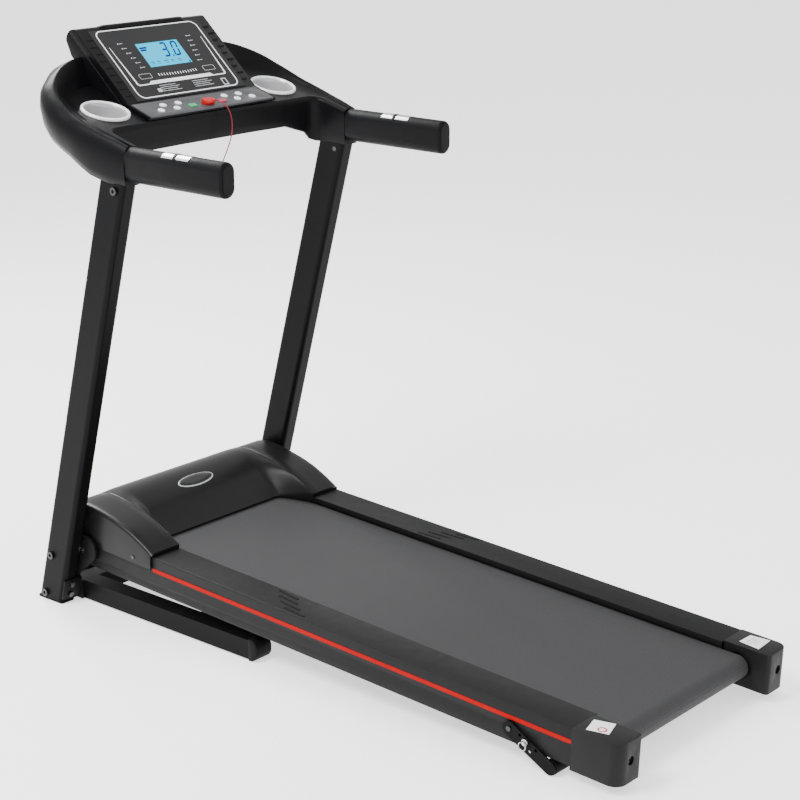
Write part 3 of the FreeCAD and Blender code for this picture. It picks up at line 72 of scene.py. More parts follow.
soft_box("key_light", (-2.6, 0.6, 3.6), (0.0, 0.0, 0.5), 1.8, 210.0)
soft_box("fill_light", (2.2, -3.2, 2.6), (0.0, 0.0, 0.5), 2.6, 30.0)
soft_box("rim_light", (0.6, 3.0, 3.0), (0.0, 0.3, 0.8), 1.5, 150.0)


class Nodes:
    """A node tree whose nodes are added one by one."""

    def add(self, kind, settings=None, inputs=None):
        """One node: its settings first, then the values or links of its sockets."""
        node = self.tree.nodes.new(kind)
        for key, value in (settings or {}).items():
            setattr(node, key, value)
        for key, value in (inputs or {}).items():
            self.join(value, node.inputs[key])
        return node

    def join(self, value, socket):
        """A value or a link into a socket."""
        if isinstance(value, Shade):
            value = value.socket
        if isinstance(value, bpy.types.NodeSocket):
            self.tree.links.new(value, socket)
        else:
            socket.default_value = value


class Finish(Nodes):
    """A material with a principled surface."""

    def __init__(self, name, colour, roughness, **constants):
        self.material = bpy.data.materials.new(name)
        self.material.use_nodes = True
        self.tree = self.material.node_tree
        self.surface = self.tree.nodes["Principled BSDF"]
        self.surface.inputs["Base Color"].default_value = (*colour, 1.0)
        self.surface.inputs["Roughness"].default_value = roughness
        self.material.diffuse_color = (*colour, 1.0)
        for socket, value in constants.items():
            self.surface.inputs[socket.replace("_", " ")].default_value = value

    def feed(self, **links):
        """Links into the surface's own sockets."""
        for socket, value in links.items():
            self.join(value, self.surface.inputs[socket.replace("_", " ")])

    def place(self, scale=(1.0, 1.0, 1.0), turn=(0.0, 0.0, 0.0)):
        """Object coordinates, stretched and turned."""
        coordinates = self.add("ShaderNodeTexCoord")
        return self.add("ShaderNodeMapping", None, {"Vector": coordinates.outputs["Object"],
                                                    "Scale": scale, "Rotation": turn}).outputs[0]

    def along(self, axis):
        """One object coordinate, in metres."""
        split = self.add("ShaderNodeSeparateXYZ", None,
                         {0: self.add("ShaderNodeTexCoord").outputs["Object"]})
        return Shade(self, split.outputs[axis])

    def noise(self, scale, detail=3.0, place=None, rough=0.5):
        """Soft random field from 0 to 1."""
        node = self.add("ShaderNodeTexNoise", None,
                        {"Vector": place or self.place(), "Scale": scale, "Detail": detail,
                         "Roughness": rough})
        return Shade(self, node.outputs[0])

    def cells(self, scale, place=None):
        """Distance field of small random cells."""
        node = self.add("ShaderNodeTexVoronoi", None, {"Vector": place or self.place(), "Scale": scale})
        return Shade(self, node.outputs["Distance"])

    def mix(self, factor, first, second):
        """Colour between two others."""
        node = self.add("ShaderNodeMix", {"data_type": "RGBA"},
                        {0: factor, 6: first if not isinstance(first, tuple) else (*first, 1.0),
                         7: second if not isinstance(second, tuple) else (*second, 1.0)})
        return node.outputs[2]

    def relief(self, height, strength, distance):
        """Bump into the surface's normal."""
        bump = self.add("ShaderNodeBump", None,
                        {"Height": height, "Strength": strength, "Distance": distance})
        self.feed(Normal=bump.outputs[0])

    def vary(self, tones=None, rough=None, bumps=None):
        """Noise in colour (scale, detail, dark, light), in roughness (scale, detail, span, least) and
        in relief (scale, strength, distance)."""
        if tones:
            self.feed(Base_Color=self.mix(self.noise(*tones[:2]), *tones[2:]))
        if rough:
            self.feed(Roughness=self.noise(*rough[:2]) * rough[2] + rough[3])
        if bumps:
            self.relief(self.noise(bumps[0], 2.0), *bumps[1:])


class Shade:
    """A shader number that takes + and *, a sine wave and a clamp."""

    def __init__(self, finish, socket):
        self.finish = finish
        self.socket = socket

    def work(self, operation, first, second=0.0):
        node = self.finish.add("ShaderNodeMath", {"operation": operation}, {0: first, 1: second})
        return Shade(self.finish, node.outputs[0])

    def __add__(self, other):
        return self.work("ADD", self, other)

    __radd__ = __add__

    def __mul__(self, other):
        return self.work("MULTIPLY", self, other)

    __rmul__ = __mul__

    def wave(self):
        return self.work("SINE", self)

    def clamp(self):
        return self.work("MINIMUM", self.work("MAXIMUM", self, 0.0), 1.0)


ROOM_LIGHT = 1.15
FLOOR_HALF = 30
room = bpy.data.worlds.new("room")
room.use_nodes = True
room.node_tree.nodes["Background"].inputs[0].default_value = (1.0, 1.0, 1.0, 1.0)
room.node_tree.nodes["Background"].inputs[1].default_value = ROOM_LIGHT
bpy.context.scene.world = room

floor_finish = Finish("floor", (0.95, 0.95, 0.955), 0.7, Emission_Strength=1.1)
floor_mesh = bpy.data.meshes.new("floor")
floor_mesh.from_pydata([(-FLOOR_HALF, -FLOOR_HALF, 0), (FLOOR_HALF, -FLOOR_HALF, 0),
                        (FLOOR_HALF, FLOOR_HALF, 0), (-FLOOR_HALF, FLOOR_HALF, 0)], [], [(0, 1, 2, 3)])
floor_mesh.materials.append(floor_finish.material)
shown("floor", floor_mesh)

# ---- safety cord, key and clip ---------------------------------------
# A thin red plastic-coated cord runs from the magnetic key in the button strip over the console's
# edge and hangs down in front of the beam, with a small black clip for the user's clothes.
# The route's points are in millimetres.
cord_route = [(9.0, 489.0, 1024.5), (13.0, 476.0, 1022.0), (17.5, 462.0, 1011.0), (19.5, 454.0, 989.0),
              (16.0, 451.0, 962.0), (4.0, 451.0, 934.0), (-12.0, 452.0, 908.0), (-18.0, 453.0, 889.0),
              (-18.5, 453.0, 873.0)]
CORD_RADIUS = 0.0012
cord_curve = bpy.data.curves.new("safety_cord_line", "CURVE")
cord_curve.dimensions = "3D"
cord_curve.bevel_depth = CORD_RADIUS
cord_curve.bevel_resolution = 4
cord_curve.resolution_u = 12
cord_curve.use_fill_caps = True
line = cord_curve.splines.new("NURBS")
line.points.add(len(cord_route) - 1)
for point, (x, y, z) in zip(line.points, cord_route):
    point.co = (x / 1000, y / 1000, z / 1000, 1.0)
line.order_u = 3
line.use_endpoint_u = True
safety_cord = shown("safety_cord_line", cord_curve)

cord_finish = Finish("red_cord", (0.62, 0.03, 0.05), 0.38)
cord_twist = (cord_finish.along("Z") * 2600.0 + cord_finish.along("X") * 1500.0).wave()
cord_finish.feed(Base_Color=cord_finish.mix(cord_twist * 0.5 + 0.5, (0.13, 0.001, 0.008),
                                            (0.20, 0.003, 0.014)))
cord_finish.relief(cord_twist, 0.3, 0.0002)
cord_curve.materials.append(cord_finish.material)


SAME_POINT = 1e-6
NEARLY_FLAT = math.radians(0.6)


def rounded_copy(node, name, width, segments=2, sharp=32.0, body="base", finish=None):
    """The CAD piece again as one clean mesh with its hard edges rounded off."""
    shape = bmesh.new()
    shape.from_mesh(nodes[node].data)
    bmesh.ops.remove_doubles(shape, verts=shape.verts, dist=SAME_POINT)
    bmesh.ops.dissolve_limit(shape, angle_limit=NEARLY_FLAT, verts=shape.verts, edges=shape.edges)
    limit = math.radians(sharp)
    hard = [edge for edge in shape.edges
            if len(edge.link_faces) == 2 and edge.calc_face_angle(0.0) > limit]
    bmesh.ops.bevel(shape, geom=hard, offset=width, segments=segments, profile=0.5, affect="EDGES",
                    clamp_overlap=True)
    smooth(shape)
    piece = finished(shape, name, finish)
    for edge in piece.data.edges:
        edge.use_edge_sharp = False
    piece.data.set_sharp_from_angle(angle=math.radians(38))
    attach(piece, body)
    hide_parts(node)
    return piece


def smooth(shape):
    """Smooth shading on every face."""
    for face in shape.faces:
        face.smooth = True


def finished(shape, name, finish):
    """An object at the origin out of a bmesh, with its finish."""
    mesh = bpy.data.meshes.new(name)
    bmesh.ops.triangulate(shape, faces=[face for face in shape.faces if len(face.verts) > 4])
    shape.to_mesh(mesh)
    shape.free()
    if finish:
        mesh.materials.append(finish.material)
    return shown(name, mesh)


def settled(piece):
    """The piece as a plain mesh, with its modifiers worked in."""
    graph = bpy.context.evaluated_depsgraph_get()
    piece.data = bpy.data.meshes.new_from_object(piece.evaluated_get(graph), depsgraph=graph)
    piece.modifiers.clear()
    return piece


def shell(shape, name, finish, sharp):
    """A smooth closed piece with an edge wherever its faces turn by more than an angle."""
    bmesh.ops.recalc_face_normals(shape, faces=shape.faces)
    smooth(shape)
    piece = finished(shape, name, finish)
    piece.data.set_sharp_from_angle(angle=math.radians(sharp))
    return piece


def repaint(node, finish):
    """A better material on a kept CAD piece."""
    holder = nodes[node]
    if not holder.data.materials:
        holder.data.materials.append(finish.material)
    for index in range(len(holder.data.materials)):
        holder.data.materials[index] = finish.material


def moulded(name, colour, roughness, grain=2200.0, depth=0.25, coat=0.0, shine=0.5):
    """Injection-moulded plastic: fine grain, faint colour drift and handling marks."""
    finish = Finish(name, colour, roughness, Coat_Weight=coat, Coat_Roughness=0.2,
                    Specular_IOR_Level=shine)
    drift = finish.noise(9.0, 4.0)
    speck = finish.noise(1400.0, 2.0)
    lighter = tuple(min(1.0, channel * 1.3 + 0.001) for channel in colour)
    darker = tuple(channel * 0.82 for channel in colour)
    finish.feed(Base_Color=finish.mix(drift * 0.7 + speck * 0.3, darker, lighter),
                Roughness=finish.noise(38.0, 3.0) * 0.16 + (roughness - 0.08))
    finish.relief(finish.cells(grain) * 0.6 + speck * 0.4, depth, 0.0002)
    return finish


clip_finish = moulded("black_moulding", (0.004, 0.004, 0.0045), 0.5, shine=0.08)
key_finish = moulded("red_moulding", (0.40, 0.001, 0.001), 0.35, shine=0.3)
clip = rounded_copy("safety_clip", "cord_clip", 0.0012, 2, body="safety_key", finish=clip_finish)
rounded_copy("safety_key", "red_key", 0.0022, 3, body="safety_key", finish=key_finish)
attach(safety_cord, "safety_key")
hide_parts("safety_cord")

# ---- base frame, uprights and their hardware -------------------------
# Welded square floor tubes and two leaning rolled-section uprights, powder coated satin black, with
# moulded end caps, floor pads and blackened socket screws.
steel_black = Finish("black_powder_coat", (0.003, 0.003, 0.0035), 0.38, Specular_IOR_Level=0.06)
steel_black.vary((6.0, 4.0, (0.0025, 0.0025, 0.003), (0.0045, 0.0045, 0.005)), (24.0, 3.0, 0.14, 0.29),
                 (520.0, 0.18, 0.0002))
for node in ("base_frame", "uprights"):
    repaint(node, steel_black)
rounded_copy("base_plates", "pivot_plates", 0.0008, 2, finish=clip_finish)

rounded_copy("base_feet", "floor_caps", 0.0016, 2, finish=clip_finish)
bolt_black = Finish("blackened_screw", (0.045, 0.045, 0.048), 0.30, Metallic=1.0)
bolt_black.vary((150.0, 3.0, (0.03, 0.03, 0.032), (0.10, 0.10, 0.10)), (220.0, 3.0, 0.25, 0.2),
                (900.0, 0.15, 0.0001))
turned_steel = Finish("turned_steel", (0.56, 0.56, 0.57), 0.28, Metallic=1.0)
turned_steel.vary((40.0, 3.0, (0.45, 0.45, 0.46), (0.66, 0.66, 0.67)), (120.0, 3.0, 0.2, 0.2))
turned_steel.relief((turned_steel.along("X") * 9000.0).wave(), 0.12, 0.0001)
repaint("frame_bolts", bolt_black)
repaint("fold_pivot_pins", turned_steel)
for word in ("left", "right"):
    rounded_copy("transport_wheel_" + word, "wheel_" + word, 0.0006, 1, sharp=60.0,
                 body="transport_wheel_" + word, finish=clip_finish)
repaint("fold_latch", clip_finish)

# ---- running deck ----------------------------------------------------
# A woven-backed rubber belt with a fine lengthwise rib runs over two steel rollers on a waxed board;
# grained foot rails with a red stripe and slanted grip ribs cover the steel side tubes.
DECK_TIP = math.radians(2.5)
DECK_REAR, RAIL_TOP = -0.720, 0.097


def on_deck(x, y, level):
    """A point given in the level deck, tipped with it about the rails' rear top edge, in metres."""
    dy, dz = y - DECK_REAR, level - RAIL_TOP
    return Vector((x, DECK_REAR + dy * math.cos(DECK_TIP) - dz * math.sin(DECK_TIP),
                   RAIL_TOP + dy * math.sin(DECK_TIP) + dz * math.cos(DECK_TIP)))


belt_finish = Finish("running_belt_top", (0.03, 0.03, 0.031), 0.6, Specular_IOR_Level=0.12)
ribs = (belt_finish.along("X") * 1570.0).wave()
fine_ribs = (belt_finish.along("X") * 6280.0).wave()
weave = (belt_finish.along("Y") * 3140.0).wave()
streak = belt_finish.noise(30.0, 3.0, belt_finish.place((6.0, 0.4, 6.0)))
belt_finish.feed(Base_Color=belt_finish.mix((ribs * 0.28 + streak * 0.4 + weave * 0.14 + 0.25).clamp(),
                                            (0.024, 0.024, 0.025), (0.056, 0.056, 0.058)),
                 Roughness=streak * 0.16 + 0.5)
belt_finish.relief(ribs * 0.5 + fine_ribs * 0.2 + weave * 0.25, 0.4, 0.0004)
repaint("running_belt", belt_finish)
repaint("drive_belt", belt_finish)

for node in ("deck_side_tubes", "deck_cross_tubes"):
    repaint(node, steel_black)
for node in ("front_roller", "rear_roller", "roller_axles"):
    repaint(node, turned_steel)
repaint("deck_fasteners", bolt_black)
pad_rubber = Finish("black_rubber", (0.005, 0.005, 0.005), 0.62, Specular_IOR_Level=0.08)
pad_rubber.vary((60.0, 4.0, (0.003, 0.003, 0.003), (0.008, 0.008, 0.0075)), (90.0, 2.0, 0.2, 0.52),
                (1800.0, 0.3, 0.0002))
repaint("deck_cushions", pad_rubber)

board_finish = Finish("waxed_board", (0.03, 0.028, 0.026), 0.5, Specular_IOR_Level=0.2)
grain = board_finish.noise(14.0, 6.0, board_finish.place((1.0, 0.06, 6.0)))
board_finish.feed(Base_Color=board_finish.mix(grain, (0.016, 0.015, 0.014), (0.038, 0.034, 0.030)))
board_finish.relief(grain, 0.2, 0.0003)
repaint("deck_board", board_finish)

rail_finish = moulded("rail_plastic", (0.007, 0.007, 0.0075), 0.46, grain=1500.0, depth=0.4,
                      shine=0.12)
rounded_copy("rail_covers", "foot_rails", 0.0010, 2, body="deck", finish=rail_finish)
rounded_copy("end_caps", "rear_end_caps", 0.0022, 3, body="deck", finish=rail_finish)
stripe_finish = moulded("red_stripe", (0.30, 0.0, 0.0), 0.45, depth=0.05, shine=0.05)
repaint("side_stripes", stripe_finish)


class Growth(Nodes):
    """A Geometry Nodes tree that puts a block at each point of a mesh; sizes are along X, Y and Z."""

    def __init__(self, name, sizes):
        self.tree = bpy.data.node_groups.new(name, "GeometryNodeTree")
        make = self.tree.interface.new_socket
        make("Points", in_out="INPUT", socket_type="NodeSocketGeometry")
        self.sizes = {make(size, in_out="INPUT", socket_type="NodeSocketFloat").identifier: value
                      for size, value in sizes.items()}
        make("Shapes", in_out="OUTPUT", socket_type="NodeSocketGeometry")

    def grow(self, name, places, turn, finish, body, bevel=0.0):
        """The blocks at their places as one plain mesh that rides on a body."""
        entry, leave = self.add("NodeGroupInput"), self.add("NodeGroupOutput")
        sides = self.add("ShaderNodeCombineXYZ", None, {axis: entry.outputs[axis + 1] for axis in range(3)})
        block = self.add("GeometryNodeMeshCube", None, {"Size": sides.outputs[0]})
        facing = self.add("FunctionNodeEulerToRotation", None, {0: turn})
        spread = self.add("GeometryNodeInstanceOnPoints", None,
                          {"Points": entry.outputs["Points"], "Instance": block.outputs["Mesh"],
                           "Rotation": facing.outputs[0]})
        solid = self.add("GeometryNodeRealizeInstances", None, {0: spread.outputs[0]})
        painted = self.add("GeometryNodeSetMaterial", None,
                           {"Geometry": solid.outputs[0], "Material": finish.material})
        self.join(painted.outputs[0], leave.inputs[0])
        seeds = bpy.data.meshes.new(name + "_seeds")
        seeds.from_pydata([tuple(place) for place in places], [], [])
        holder = shown(name, seeds)
        modifier = holder.modifiers.new("growth", "NODES")
        modifier.node_group = self.tree
        for socket, value in self.sizes.items():
            modifier[socket] = value
        if bevel:
            round_off = holder.modifiers.new("round", "BEVEL")
            round_off.width = bevel
            round_off.segments = 2
        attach(settled(holder), body)


MARK_SLANT = 0.10
for side, word in ((-1, "left"), (1, "right")):
    marks = Growth("grip_marks_" + word, {"Mark width": 0.0048, "Mark length": 0.055,
                                          "Mark height": 0.0016})
    rows = ((0.212, 0.098), (0.229, 0.083), (0.246, 0.062), (0.262, 0.036))
    marks.grow("rail_marks_" + word, [on_deck(side * x, y, 0.0972) for x, y in rows],
               (DECK_TIP, 0.0, side * MARK_SLANT), clip_finish, "deck", bevel=0.0006)

LABEL_THICK = 0.0004
LABEL_LEVEL, INK_LEVEL = 0.0974, 0.0979


def thin_slab(name, loops, finish, place, grow, body):
    """Thin flat piece: pairs of an outline and a hole or None, placed by a function, and its depth."""
    shape = bmesh.new()
    for pair in loops:
        edges = []
        for loop in filter(None, pair):
            points = [shape.verts.new(place(*point)) for point in loop]
            edges += [shape.edges.new(ends) for ends in zip(points, points[1:] + points[:1])]
        bmesh.ops.triangle_fill(shape, edges=edges, use_beauty=True)
    for face in shape.faces:
        if face.normal.dot(grow) > 0:
            face.normal_flip()
    thick = bmesh.ops.extrude_face_region(shape, geom=list(shape.faces))
    moved = [item for item in thick["geom"] if isinstance(item, bmesh.types.BMVert)]
    bmesh.ops.translate(shape, verts=moved, vec=grow)
    bmesh.ops.recalc_face_normals(shape, faces=shape.faces)
    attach(finished(shape, name, finish), body)


def deck_label(name, outline, finish, level, hole=None):
    """Thin label on the level deck, as an outline of (x, y) points and a hole or None."""
    thin_slab(name, [(outline, hole)], finish, lambda x, y: on_deck(x, y, level),
              Vector((0.0, 0.0, LABEL_THICK)), "deck")


def circle(x, y, radius, steps=24):
    """Points round a circle."""
    return [(x + radius * math.cos(math.tau * i / steps), y + radius * math.sin(math.tau * i / steps))
            for i in range(steps)]


paper_finish = moulded("label_paper", (0.82, 0.82, 0.83), 0.5, depth=0.05)
ring_red = moulded("label_ring", (0.42, 0.004, 0.03), 0.5, depth=0.05)
label_line = moulded("label_grey", (0.36, 0.36, 0.37), 0.5, depth=0.05)
deck_label("label_left", [(-0.2620, -0.6400), (-0.2230, -0.6290), (-0.2100, -0.6660),
                          (-0.2500, -0.6790)], paper_finish, LABEL_LEVEL)
deck_label("label_left_ring", circle(-0.2440, -0.6610, 0.0085), ring_red, INK_LEVEL,
           hole=circle(-0.2440, -0.6610, 0.0060))
deck_label("label_right", [(0.2240, -0.6440), (0.2620, -0.6450), (0.2680, -0.6840), (0.2200, -0.6880)],
           paper_finish, LABEL_LEVEL)
for step in range(3):
    y, right_end = -0.6560 - 0.0075 * step, 0.2560 - 0.004 * step
    deck_label("label_line_%d" % step, [(0.2300, y), (right_end, y), (right_end, y - 0.0012),
                                        (0.2300, y - 0.0012)], label_line, INK_LEVEL)

# ---- incline feet ----------------------------------------------------
# Pressed steel forks under the rear of the rails, each with a rubber roller on the floor and locked
# in one of its holes by a chromed pull pin with a ring.
chrome = Finish("polished_pin", (0.45, 0.45, 0.46), 0.2, Metallic=1.0)
chrome.vary(rough=(260.0, 3.0, 0.18, 0.06), bumps=(500.0, 0.05, 0.0001))
for word in ("left", "right"):
    repaint("incline_pin_" + word, chrome)
    repaint("incline_foot_" + word, steel_black)
    repaint("foot_roller_" + word, pad_rubber)

# ---- motor cover and what is under it --------------------------------
# Three satin mouldings: a crowned middle and two side covers that lap over the rails.  Under them are
# the motor, its flywheel and belt, and the controller board with its heat sink.
hood_finish = moulded("hood_plastic", (0.005, 0.005, 0.0055), 0.34, grain=2600.0, depth=0.12,
                      shine=0.2)


def smooth_between(values, steps):
    """Points on a smooth curve through the given ones."""
    result = []
    last = len(values) - 1
    for index in range(last):
        p0 = Vector(values[max(index - 1, 0)])
        p1, p2 = Vector(values[index]), Vector(values[index + 1])
        p3 = Vector(values[min(index + 2, last)])
        for step in range(steps):
            t = step / steps
            result.append(0.5 * ((2 * p1) + (p2 - p0) * t + (2 * p0 - 5 * p1 + 4 * p2 - p3) * t * t
                                 + (3 * p1 - p0 - 3 * p2 + p3) * t * t * t))
    result.append(Vector(values[last]))
    return result


middle_line = smooth_between(
    [(0.492, 0.0885), (0.508, 0.1035), (0.525, 0.1170), (0.546, 0.1330), (0.570, 0.1460),
     (0.592, 0.1550), (0.612, 0.1595), (0.632, 0.1590), (0.652, 0.1530), (0.666, 0.1405),
     (0.673, 0.1300), (0.676, 0.1180)], 3)
cover_line = smooth_between(
    [(0.416, 0.1050), (0.436, 0.1155), (0.460, 0.1265), (0.486, 0.1365), (0.515, 0.1445),
     (0.548, 0.1510), (0.585, 0.1562), (0.620, 0.1580), (0.648, 0.1528), (0.664, 0.1410),
     (0.672, 0.1300), (0.676, 0.1180)], 3)
SEAM = 0.2000
WALL = 0.0026
FRONT = 0.676
MIDDLE_FOOT, COVER_FOOT = 0.0860, 0.0992
INLET_HIGH, INLET_LOW = 0.0820, 0.0440


def hood_column(x, blend, drop=0.0):
    """Points over the motor cover at one place across it, from its rear lip to its front's foot."""
    foot = MIDDLE_FOOT if x < SEAM else COVER_FOOT
    line = [middle.lerp(cover, blend) for middle, cover in zip(middle_line, cover_line)]
    column = [(x, line[0][0] + 0.0004, foot), (x, line[0][0], max(line[0][1] - drop, foot + 0.0006))]
    column += [(x, y, max(z - drop, foot + 0.0012)) for y, z in line[1:-1]]
    column += [(x, FRONT - drop, z) for z in (0.1170 - drop, 0.1000, INLET_HIGH, INLET_LOW, 0.0265)]
    return column


def drilled(piece, places, radius, reach):
    """Round holes along x through a moulding, at each (y, z)."""
    rods = bmesh.new()
    for y, z in places:
        across_machine = Matrix.Translation((0.0, y, z)) @ Matrix.Rotation(math.pi / 2, 4, "Y")
        bmesh.ops.create_cone(rods, cap_ends=True, segments=32, radius1=radius, radius2=radius,
                              depth=2 * reach, matrix=across_machine)
    tool = finished(rods, "drill", None)
    cut = piece.modifiers.new("drill", "BOOLEAN")
    cut.operation, cut.solver, cut.object = "DIFFERENCE", "EXACT", tool
    settled(piece)
    bpy.data.objects.remove(tool)


def in_opening(first, second, left, right):
    """Whether a face between two corners lies in the front's opening for the inlet and switch."""
    across_it = left <= min(first[0], second[0]) and max(first[0], second[0]) <= right
    high, low = max(first[2], second[2]), min(first[2], second[2])
    return across_it and first[1] > FRONT - 0.006 and high <= INLET_HIGH + 1e-4 and low >= INLET_LOW - 1e-4


def hood_skin(name, columns, node, opening=None, holes=()):
    """A thin moulding over a row of columns, with its edges closed."""
    shape = bmesh.new()
    grid = [[shape.verts.new(on_deck(*point)) for point in column] for column in columns]
    for index in range(len(grid) - 1):
        for row in range(len(grid[0]) - 1):
            first, second = columns[index][row], columns[index + 1][row + 1]
            if opening and in_opening(first, second, *opening):
                continue
            shape.faces.new((grid[index][row], grid[index + 1][row], grid[index + 1][row + 1],
                             grid[index][row + 1]))
    bmesh.ops.remove_doubles(shape, verts=shape.verts, dist=SAME_POINT)
    bmesh.ops.dissolve_degenerate(shape, edges=shape.edges, dist=SAME_POINT)
    shape.normal_update()
    skin = list(shape.faces)
    rim = [edge for edge in shape.edges if len(edge.link_faces) == 1]
    back = {vert: shape.verts.new(vert.co - vert.normal * WALL) for vert in list(shape.verts)}
    for face in skin:
        shape.faces.new([back[vert] for vert in reversed(face.verts)])
    for edge in rim:
        first, second = edge.verts
        shape.faces.new((second, first, back[first], back[second]))
    bmesh.ops.recalc_face_normals(shape, faces=shape.faces)
    smooth(shape)
    piece = finished(shape, name, hood_finish)
    if holes:
        drilled(piece, holes, LATCH_HOLE_R, 0.3)
    piece.data.set_sharp_from_angle(angle=math.radians(42))
    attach(piece, "deck")
    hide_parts(node)


RISE_FROM, MIDDLE_EDGE = 0.164, 0.1998
across = sorted({round(side * x, 4) for side in (-1, 1) for x in
                 (0.0, 0.04, 0.084, 0.12, 0.15, 0.158, 0.163, 0.168, 0.172, 0.176, 0.180, 0.184,
                  0.188, 0.192, 0.196, 0.1985, MIDDLE_EDGE)})
middle_columns = []
for x in across:
    rise = max(0.0, (abs(x) - RISE_FROM) / (MIDDLE_EDGE - RISE_FROM))
    middle_columns.append(hood_column(x, rise ** 1.6, 0.0006 if abs(x) > 0.1995 else 0.0))
hood_skin("hood_middle", middle_columns, "motor_hood", opening=(-0.1761, -0.0839))

# The fold latch passes through the side covers, with the deck down and with it folded.
LATCH_HOLES = ((0.5876, 0.1269), (0.5960, 0.0975))
LATCH_HOLE_R = 0.0047
COVER_SIDE, COVER_LOW = 0.2767, 0.0710
cover_columns = [hood_column(x, 1.0, drop) for x, drop in
                 ((0.2002, 0.0008), (0.2016, 0.0), (0.220, 0.0), (0.240, 0.0), (0.258, 0.0),
                  (0.2665, 0.0003), (0.2710, 0.0012), (0.2742, 0.0030), (0.2760, 0.0055),
                  (COVER_SIDE, 0.0085))]
cover_columns.append([(COVER_SIDE, y, min(z, COVER_LOW)) for x, y, z in cover_columns[-1]])
for side, word in ((-1, "left"), (1, "right")):
    columns = [[(side * x, y, z) for x, y, z in column] for column in cover_columns]
    hood_skin("hood_cover_" + word, columns if side > 0 else columns[::-1], "hood_sides",
              holes=LATCH_HOLES)

motor_finish = moulded("motor_paint", (0.10, 0.10, 0.11), 0.4)
circuit_finish = moulded("circuit_board", (0.03, 0.17, 0.08), 0.4)
repaint("drive_motor", motor_finish)
repaint("motor_rotor", turned_steel)
repaint("motor_controller", circuit_finish)
repaint("motor_pan", rail_finish)
repaint("power_inlet", clip_finish)
rounded_copy("power_switch", "rocker", 0.0010, 2, body="power_switch", finish=key_finish)

badge_finish = moulded("badge_ring", (0.42, 0.43, 0.44), 0.3, coat=0.3)
badge_dark = moulded("badge_face", (0.012, 0.012, 0.013), 0.25, shine=0.4)
BADGE_Y = 0.575
BADGE_STEPS = 40


def height_on(points, y):
    """Height at y on a line through (y, height) points."""
    for (y0, z0), (y1, z1) in zip(points, points[1:]):
        if y <= y1:
            return z0 + (z1 - z0) * (y - y0) / (y1 - y0)
    return points[-1][1]


def skin_rows(shape, rows, steps):
    """Faces between closed rows of points; a row may be a single point at either end."""
    for low, high in zip(rows, rows[1:]):
        for step in range(steps):
            after = (step + 1) % steps
            if len(low) == 1:
                shape.faces.new((low[0], high[after], high[step]))
            elif len(high) == 1:
                shape.faces.new((low[step], low[after], high[0]))
            else:
                shape.faces.new((low[step], low[after], high[after], high[step]))


def oval_badge(name, half_long, half_short, lift, finish):
    """Thin oval laid on the hood's crown."""
    shape = bmesh.new()
    rows = []
    for ring, height in ((1.0, -0.0006), (1.0, lift * 0.6), (0.94, lift), (0.5, lift), (0.0, lift)):
        row = []
        for step in range(BADGE_STEPS):
            angle = math.tau * step / BADGE_STEPS
            x = half_long * ring * math.cos(angle)
            y = BADGE_Y + half_short * ring * math.sin(angle)
            row.append(shape.verts.new(on_deck(x, y, height_on(middle_line, y) + height)))
            if ring == 0.0:
                break
        rows.append(row)
    skin_rows(shape, rows, BADGE_STEPS)
    shape.faces.new(rows[0][::-1])
    smooth(shape)
    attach(finished(shape, name, finish), "deck")


oval_badge("badge_rim", 0.050, 0.0150, 0.0016, badge_finish)
oval_badge("badge_oval", 0.0478, 0.0134, 0.0022, badge_dark)

# ---- shroud round the console ----------------------------------------
# A large satin moulding: two arms sweep forward from the grips round the front of the console, with a
# rolled rim, an inner bowl for the cups and a beam that faces the user.
shroud_finish = moulded("shroud_plastic", (0.0025, 0.0025, 0.003), 0.34, grain=2600.0, depth=0.12,
                        shine=0.09)
rim_line = [(0.313, 0.393, 0.984), (0.316, 0.425, 0.994), (0.319, 0.455, 1.002), (0.321, 0.485, 1.011),
            (0.321, 0.515, 1.0205), (0.318, 0.545, 1.031), (0.313, 0.575, 1.045), (0.303, 0.605, 1.061),
            (0.281, 0.635, 1.0815), (0.240, 0.661, 1.101), (0.190, 0.674, 1.112), (0.120, 0.677, 1.114),
            (0.050, 0.678, 1.114), (0.0, 0.678, 1.114)]
swell = [0.0145, 0.0150, 0.0155, 0.0165, 0.0185, 0.0210, 0.0240, 0.0270, 0.0300, 0.0320, 0.0330, 0.0335,
         0.0337, 0.0337]
SHELF_ANGLE = math.radians(15.13)
SHELF_REAR, SHELF_REAR_Z = 0.484, 1.006
UNDERSIDE = ((0.38, 0.9085), (0.44, 0.9085), (0.485, 0.918), (0.545, 0.946), (0.69, 1.005),
             (0.72, 1.018))
ARM_LOW, ARM_REAR = 0.9085, 0.394
NOTCH_SIDE, BEAM_FACE = 0.2876, 0.478
CUP_X, CUP_Y = 0.2326, 0.546
CUP_HOLE_R, CUP_HOLE_STEPS = 0.0435, 48
SKIN = 0.0006


def shelf(y):
    """Height of the shelf that carries the console and the cups."""
    return SHELF_REAR_Z + math.tan(SHELF_ANGLE) * (y - SHELF_REAR)


def beside(x, y, out):
    """A function of distance and height that gives the point that far out from (x, y)."""
    return lambda distance, height: Vector((x + out[0] * distance, y + out[1] * distance, height))


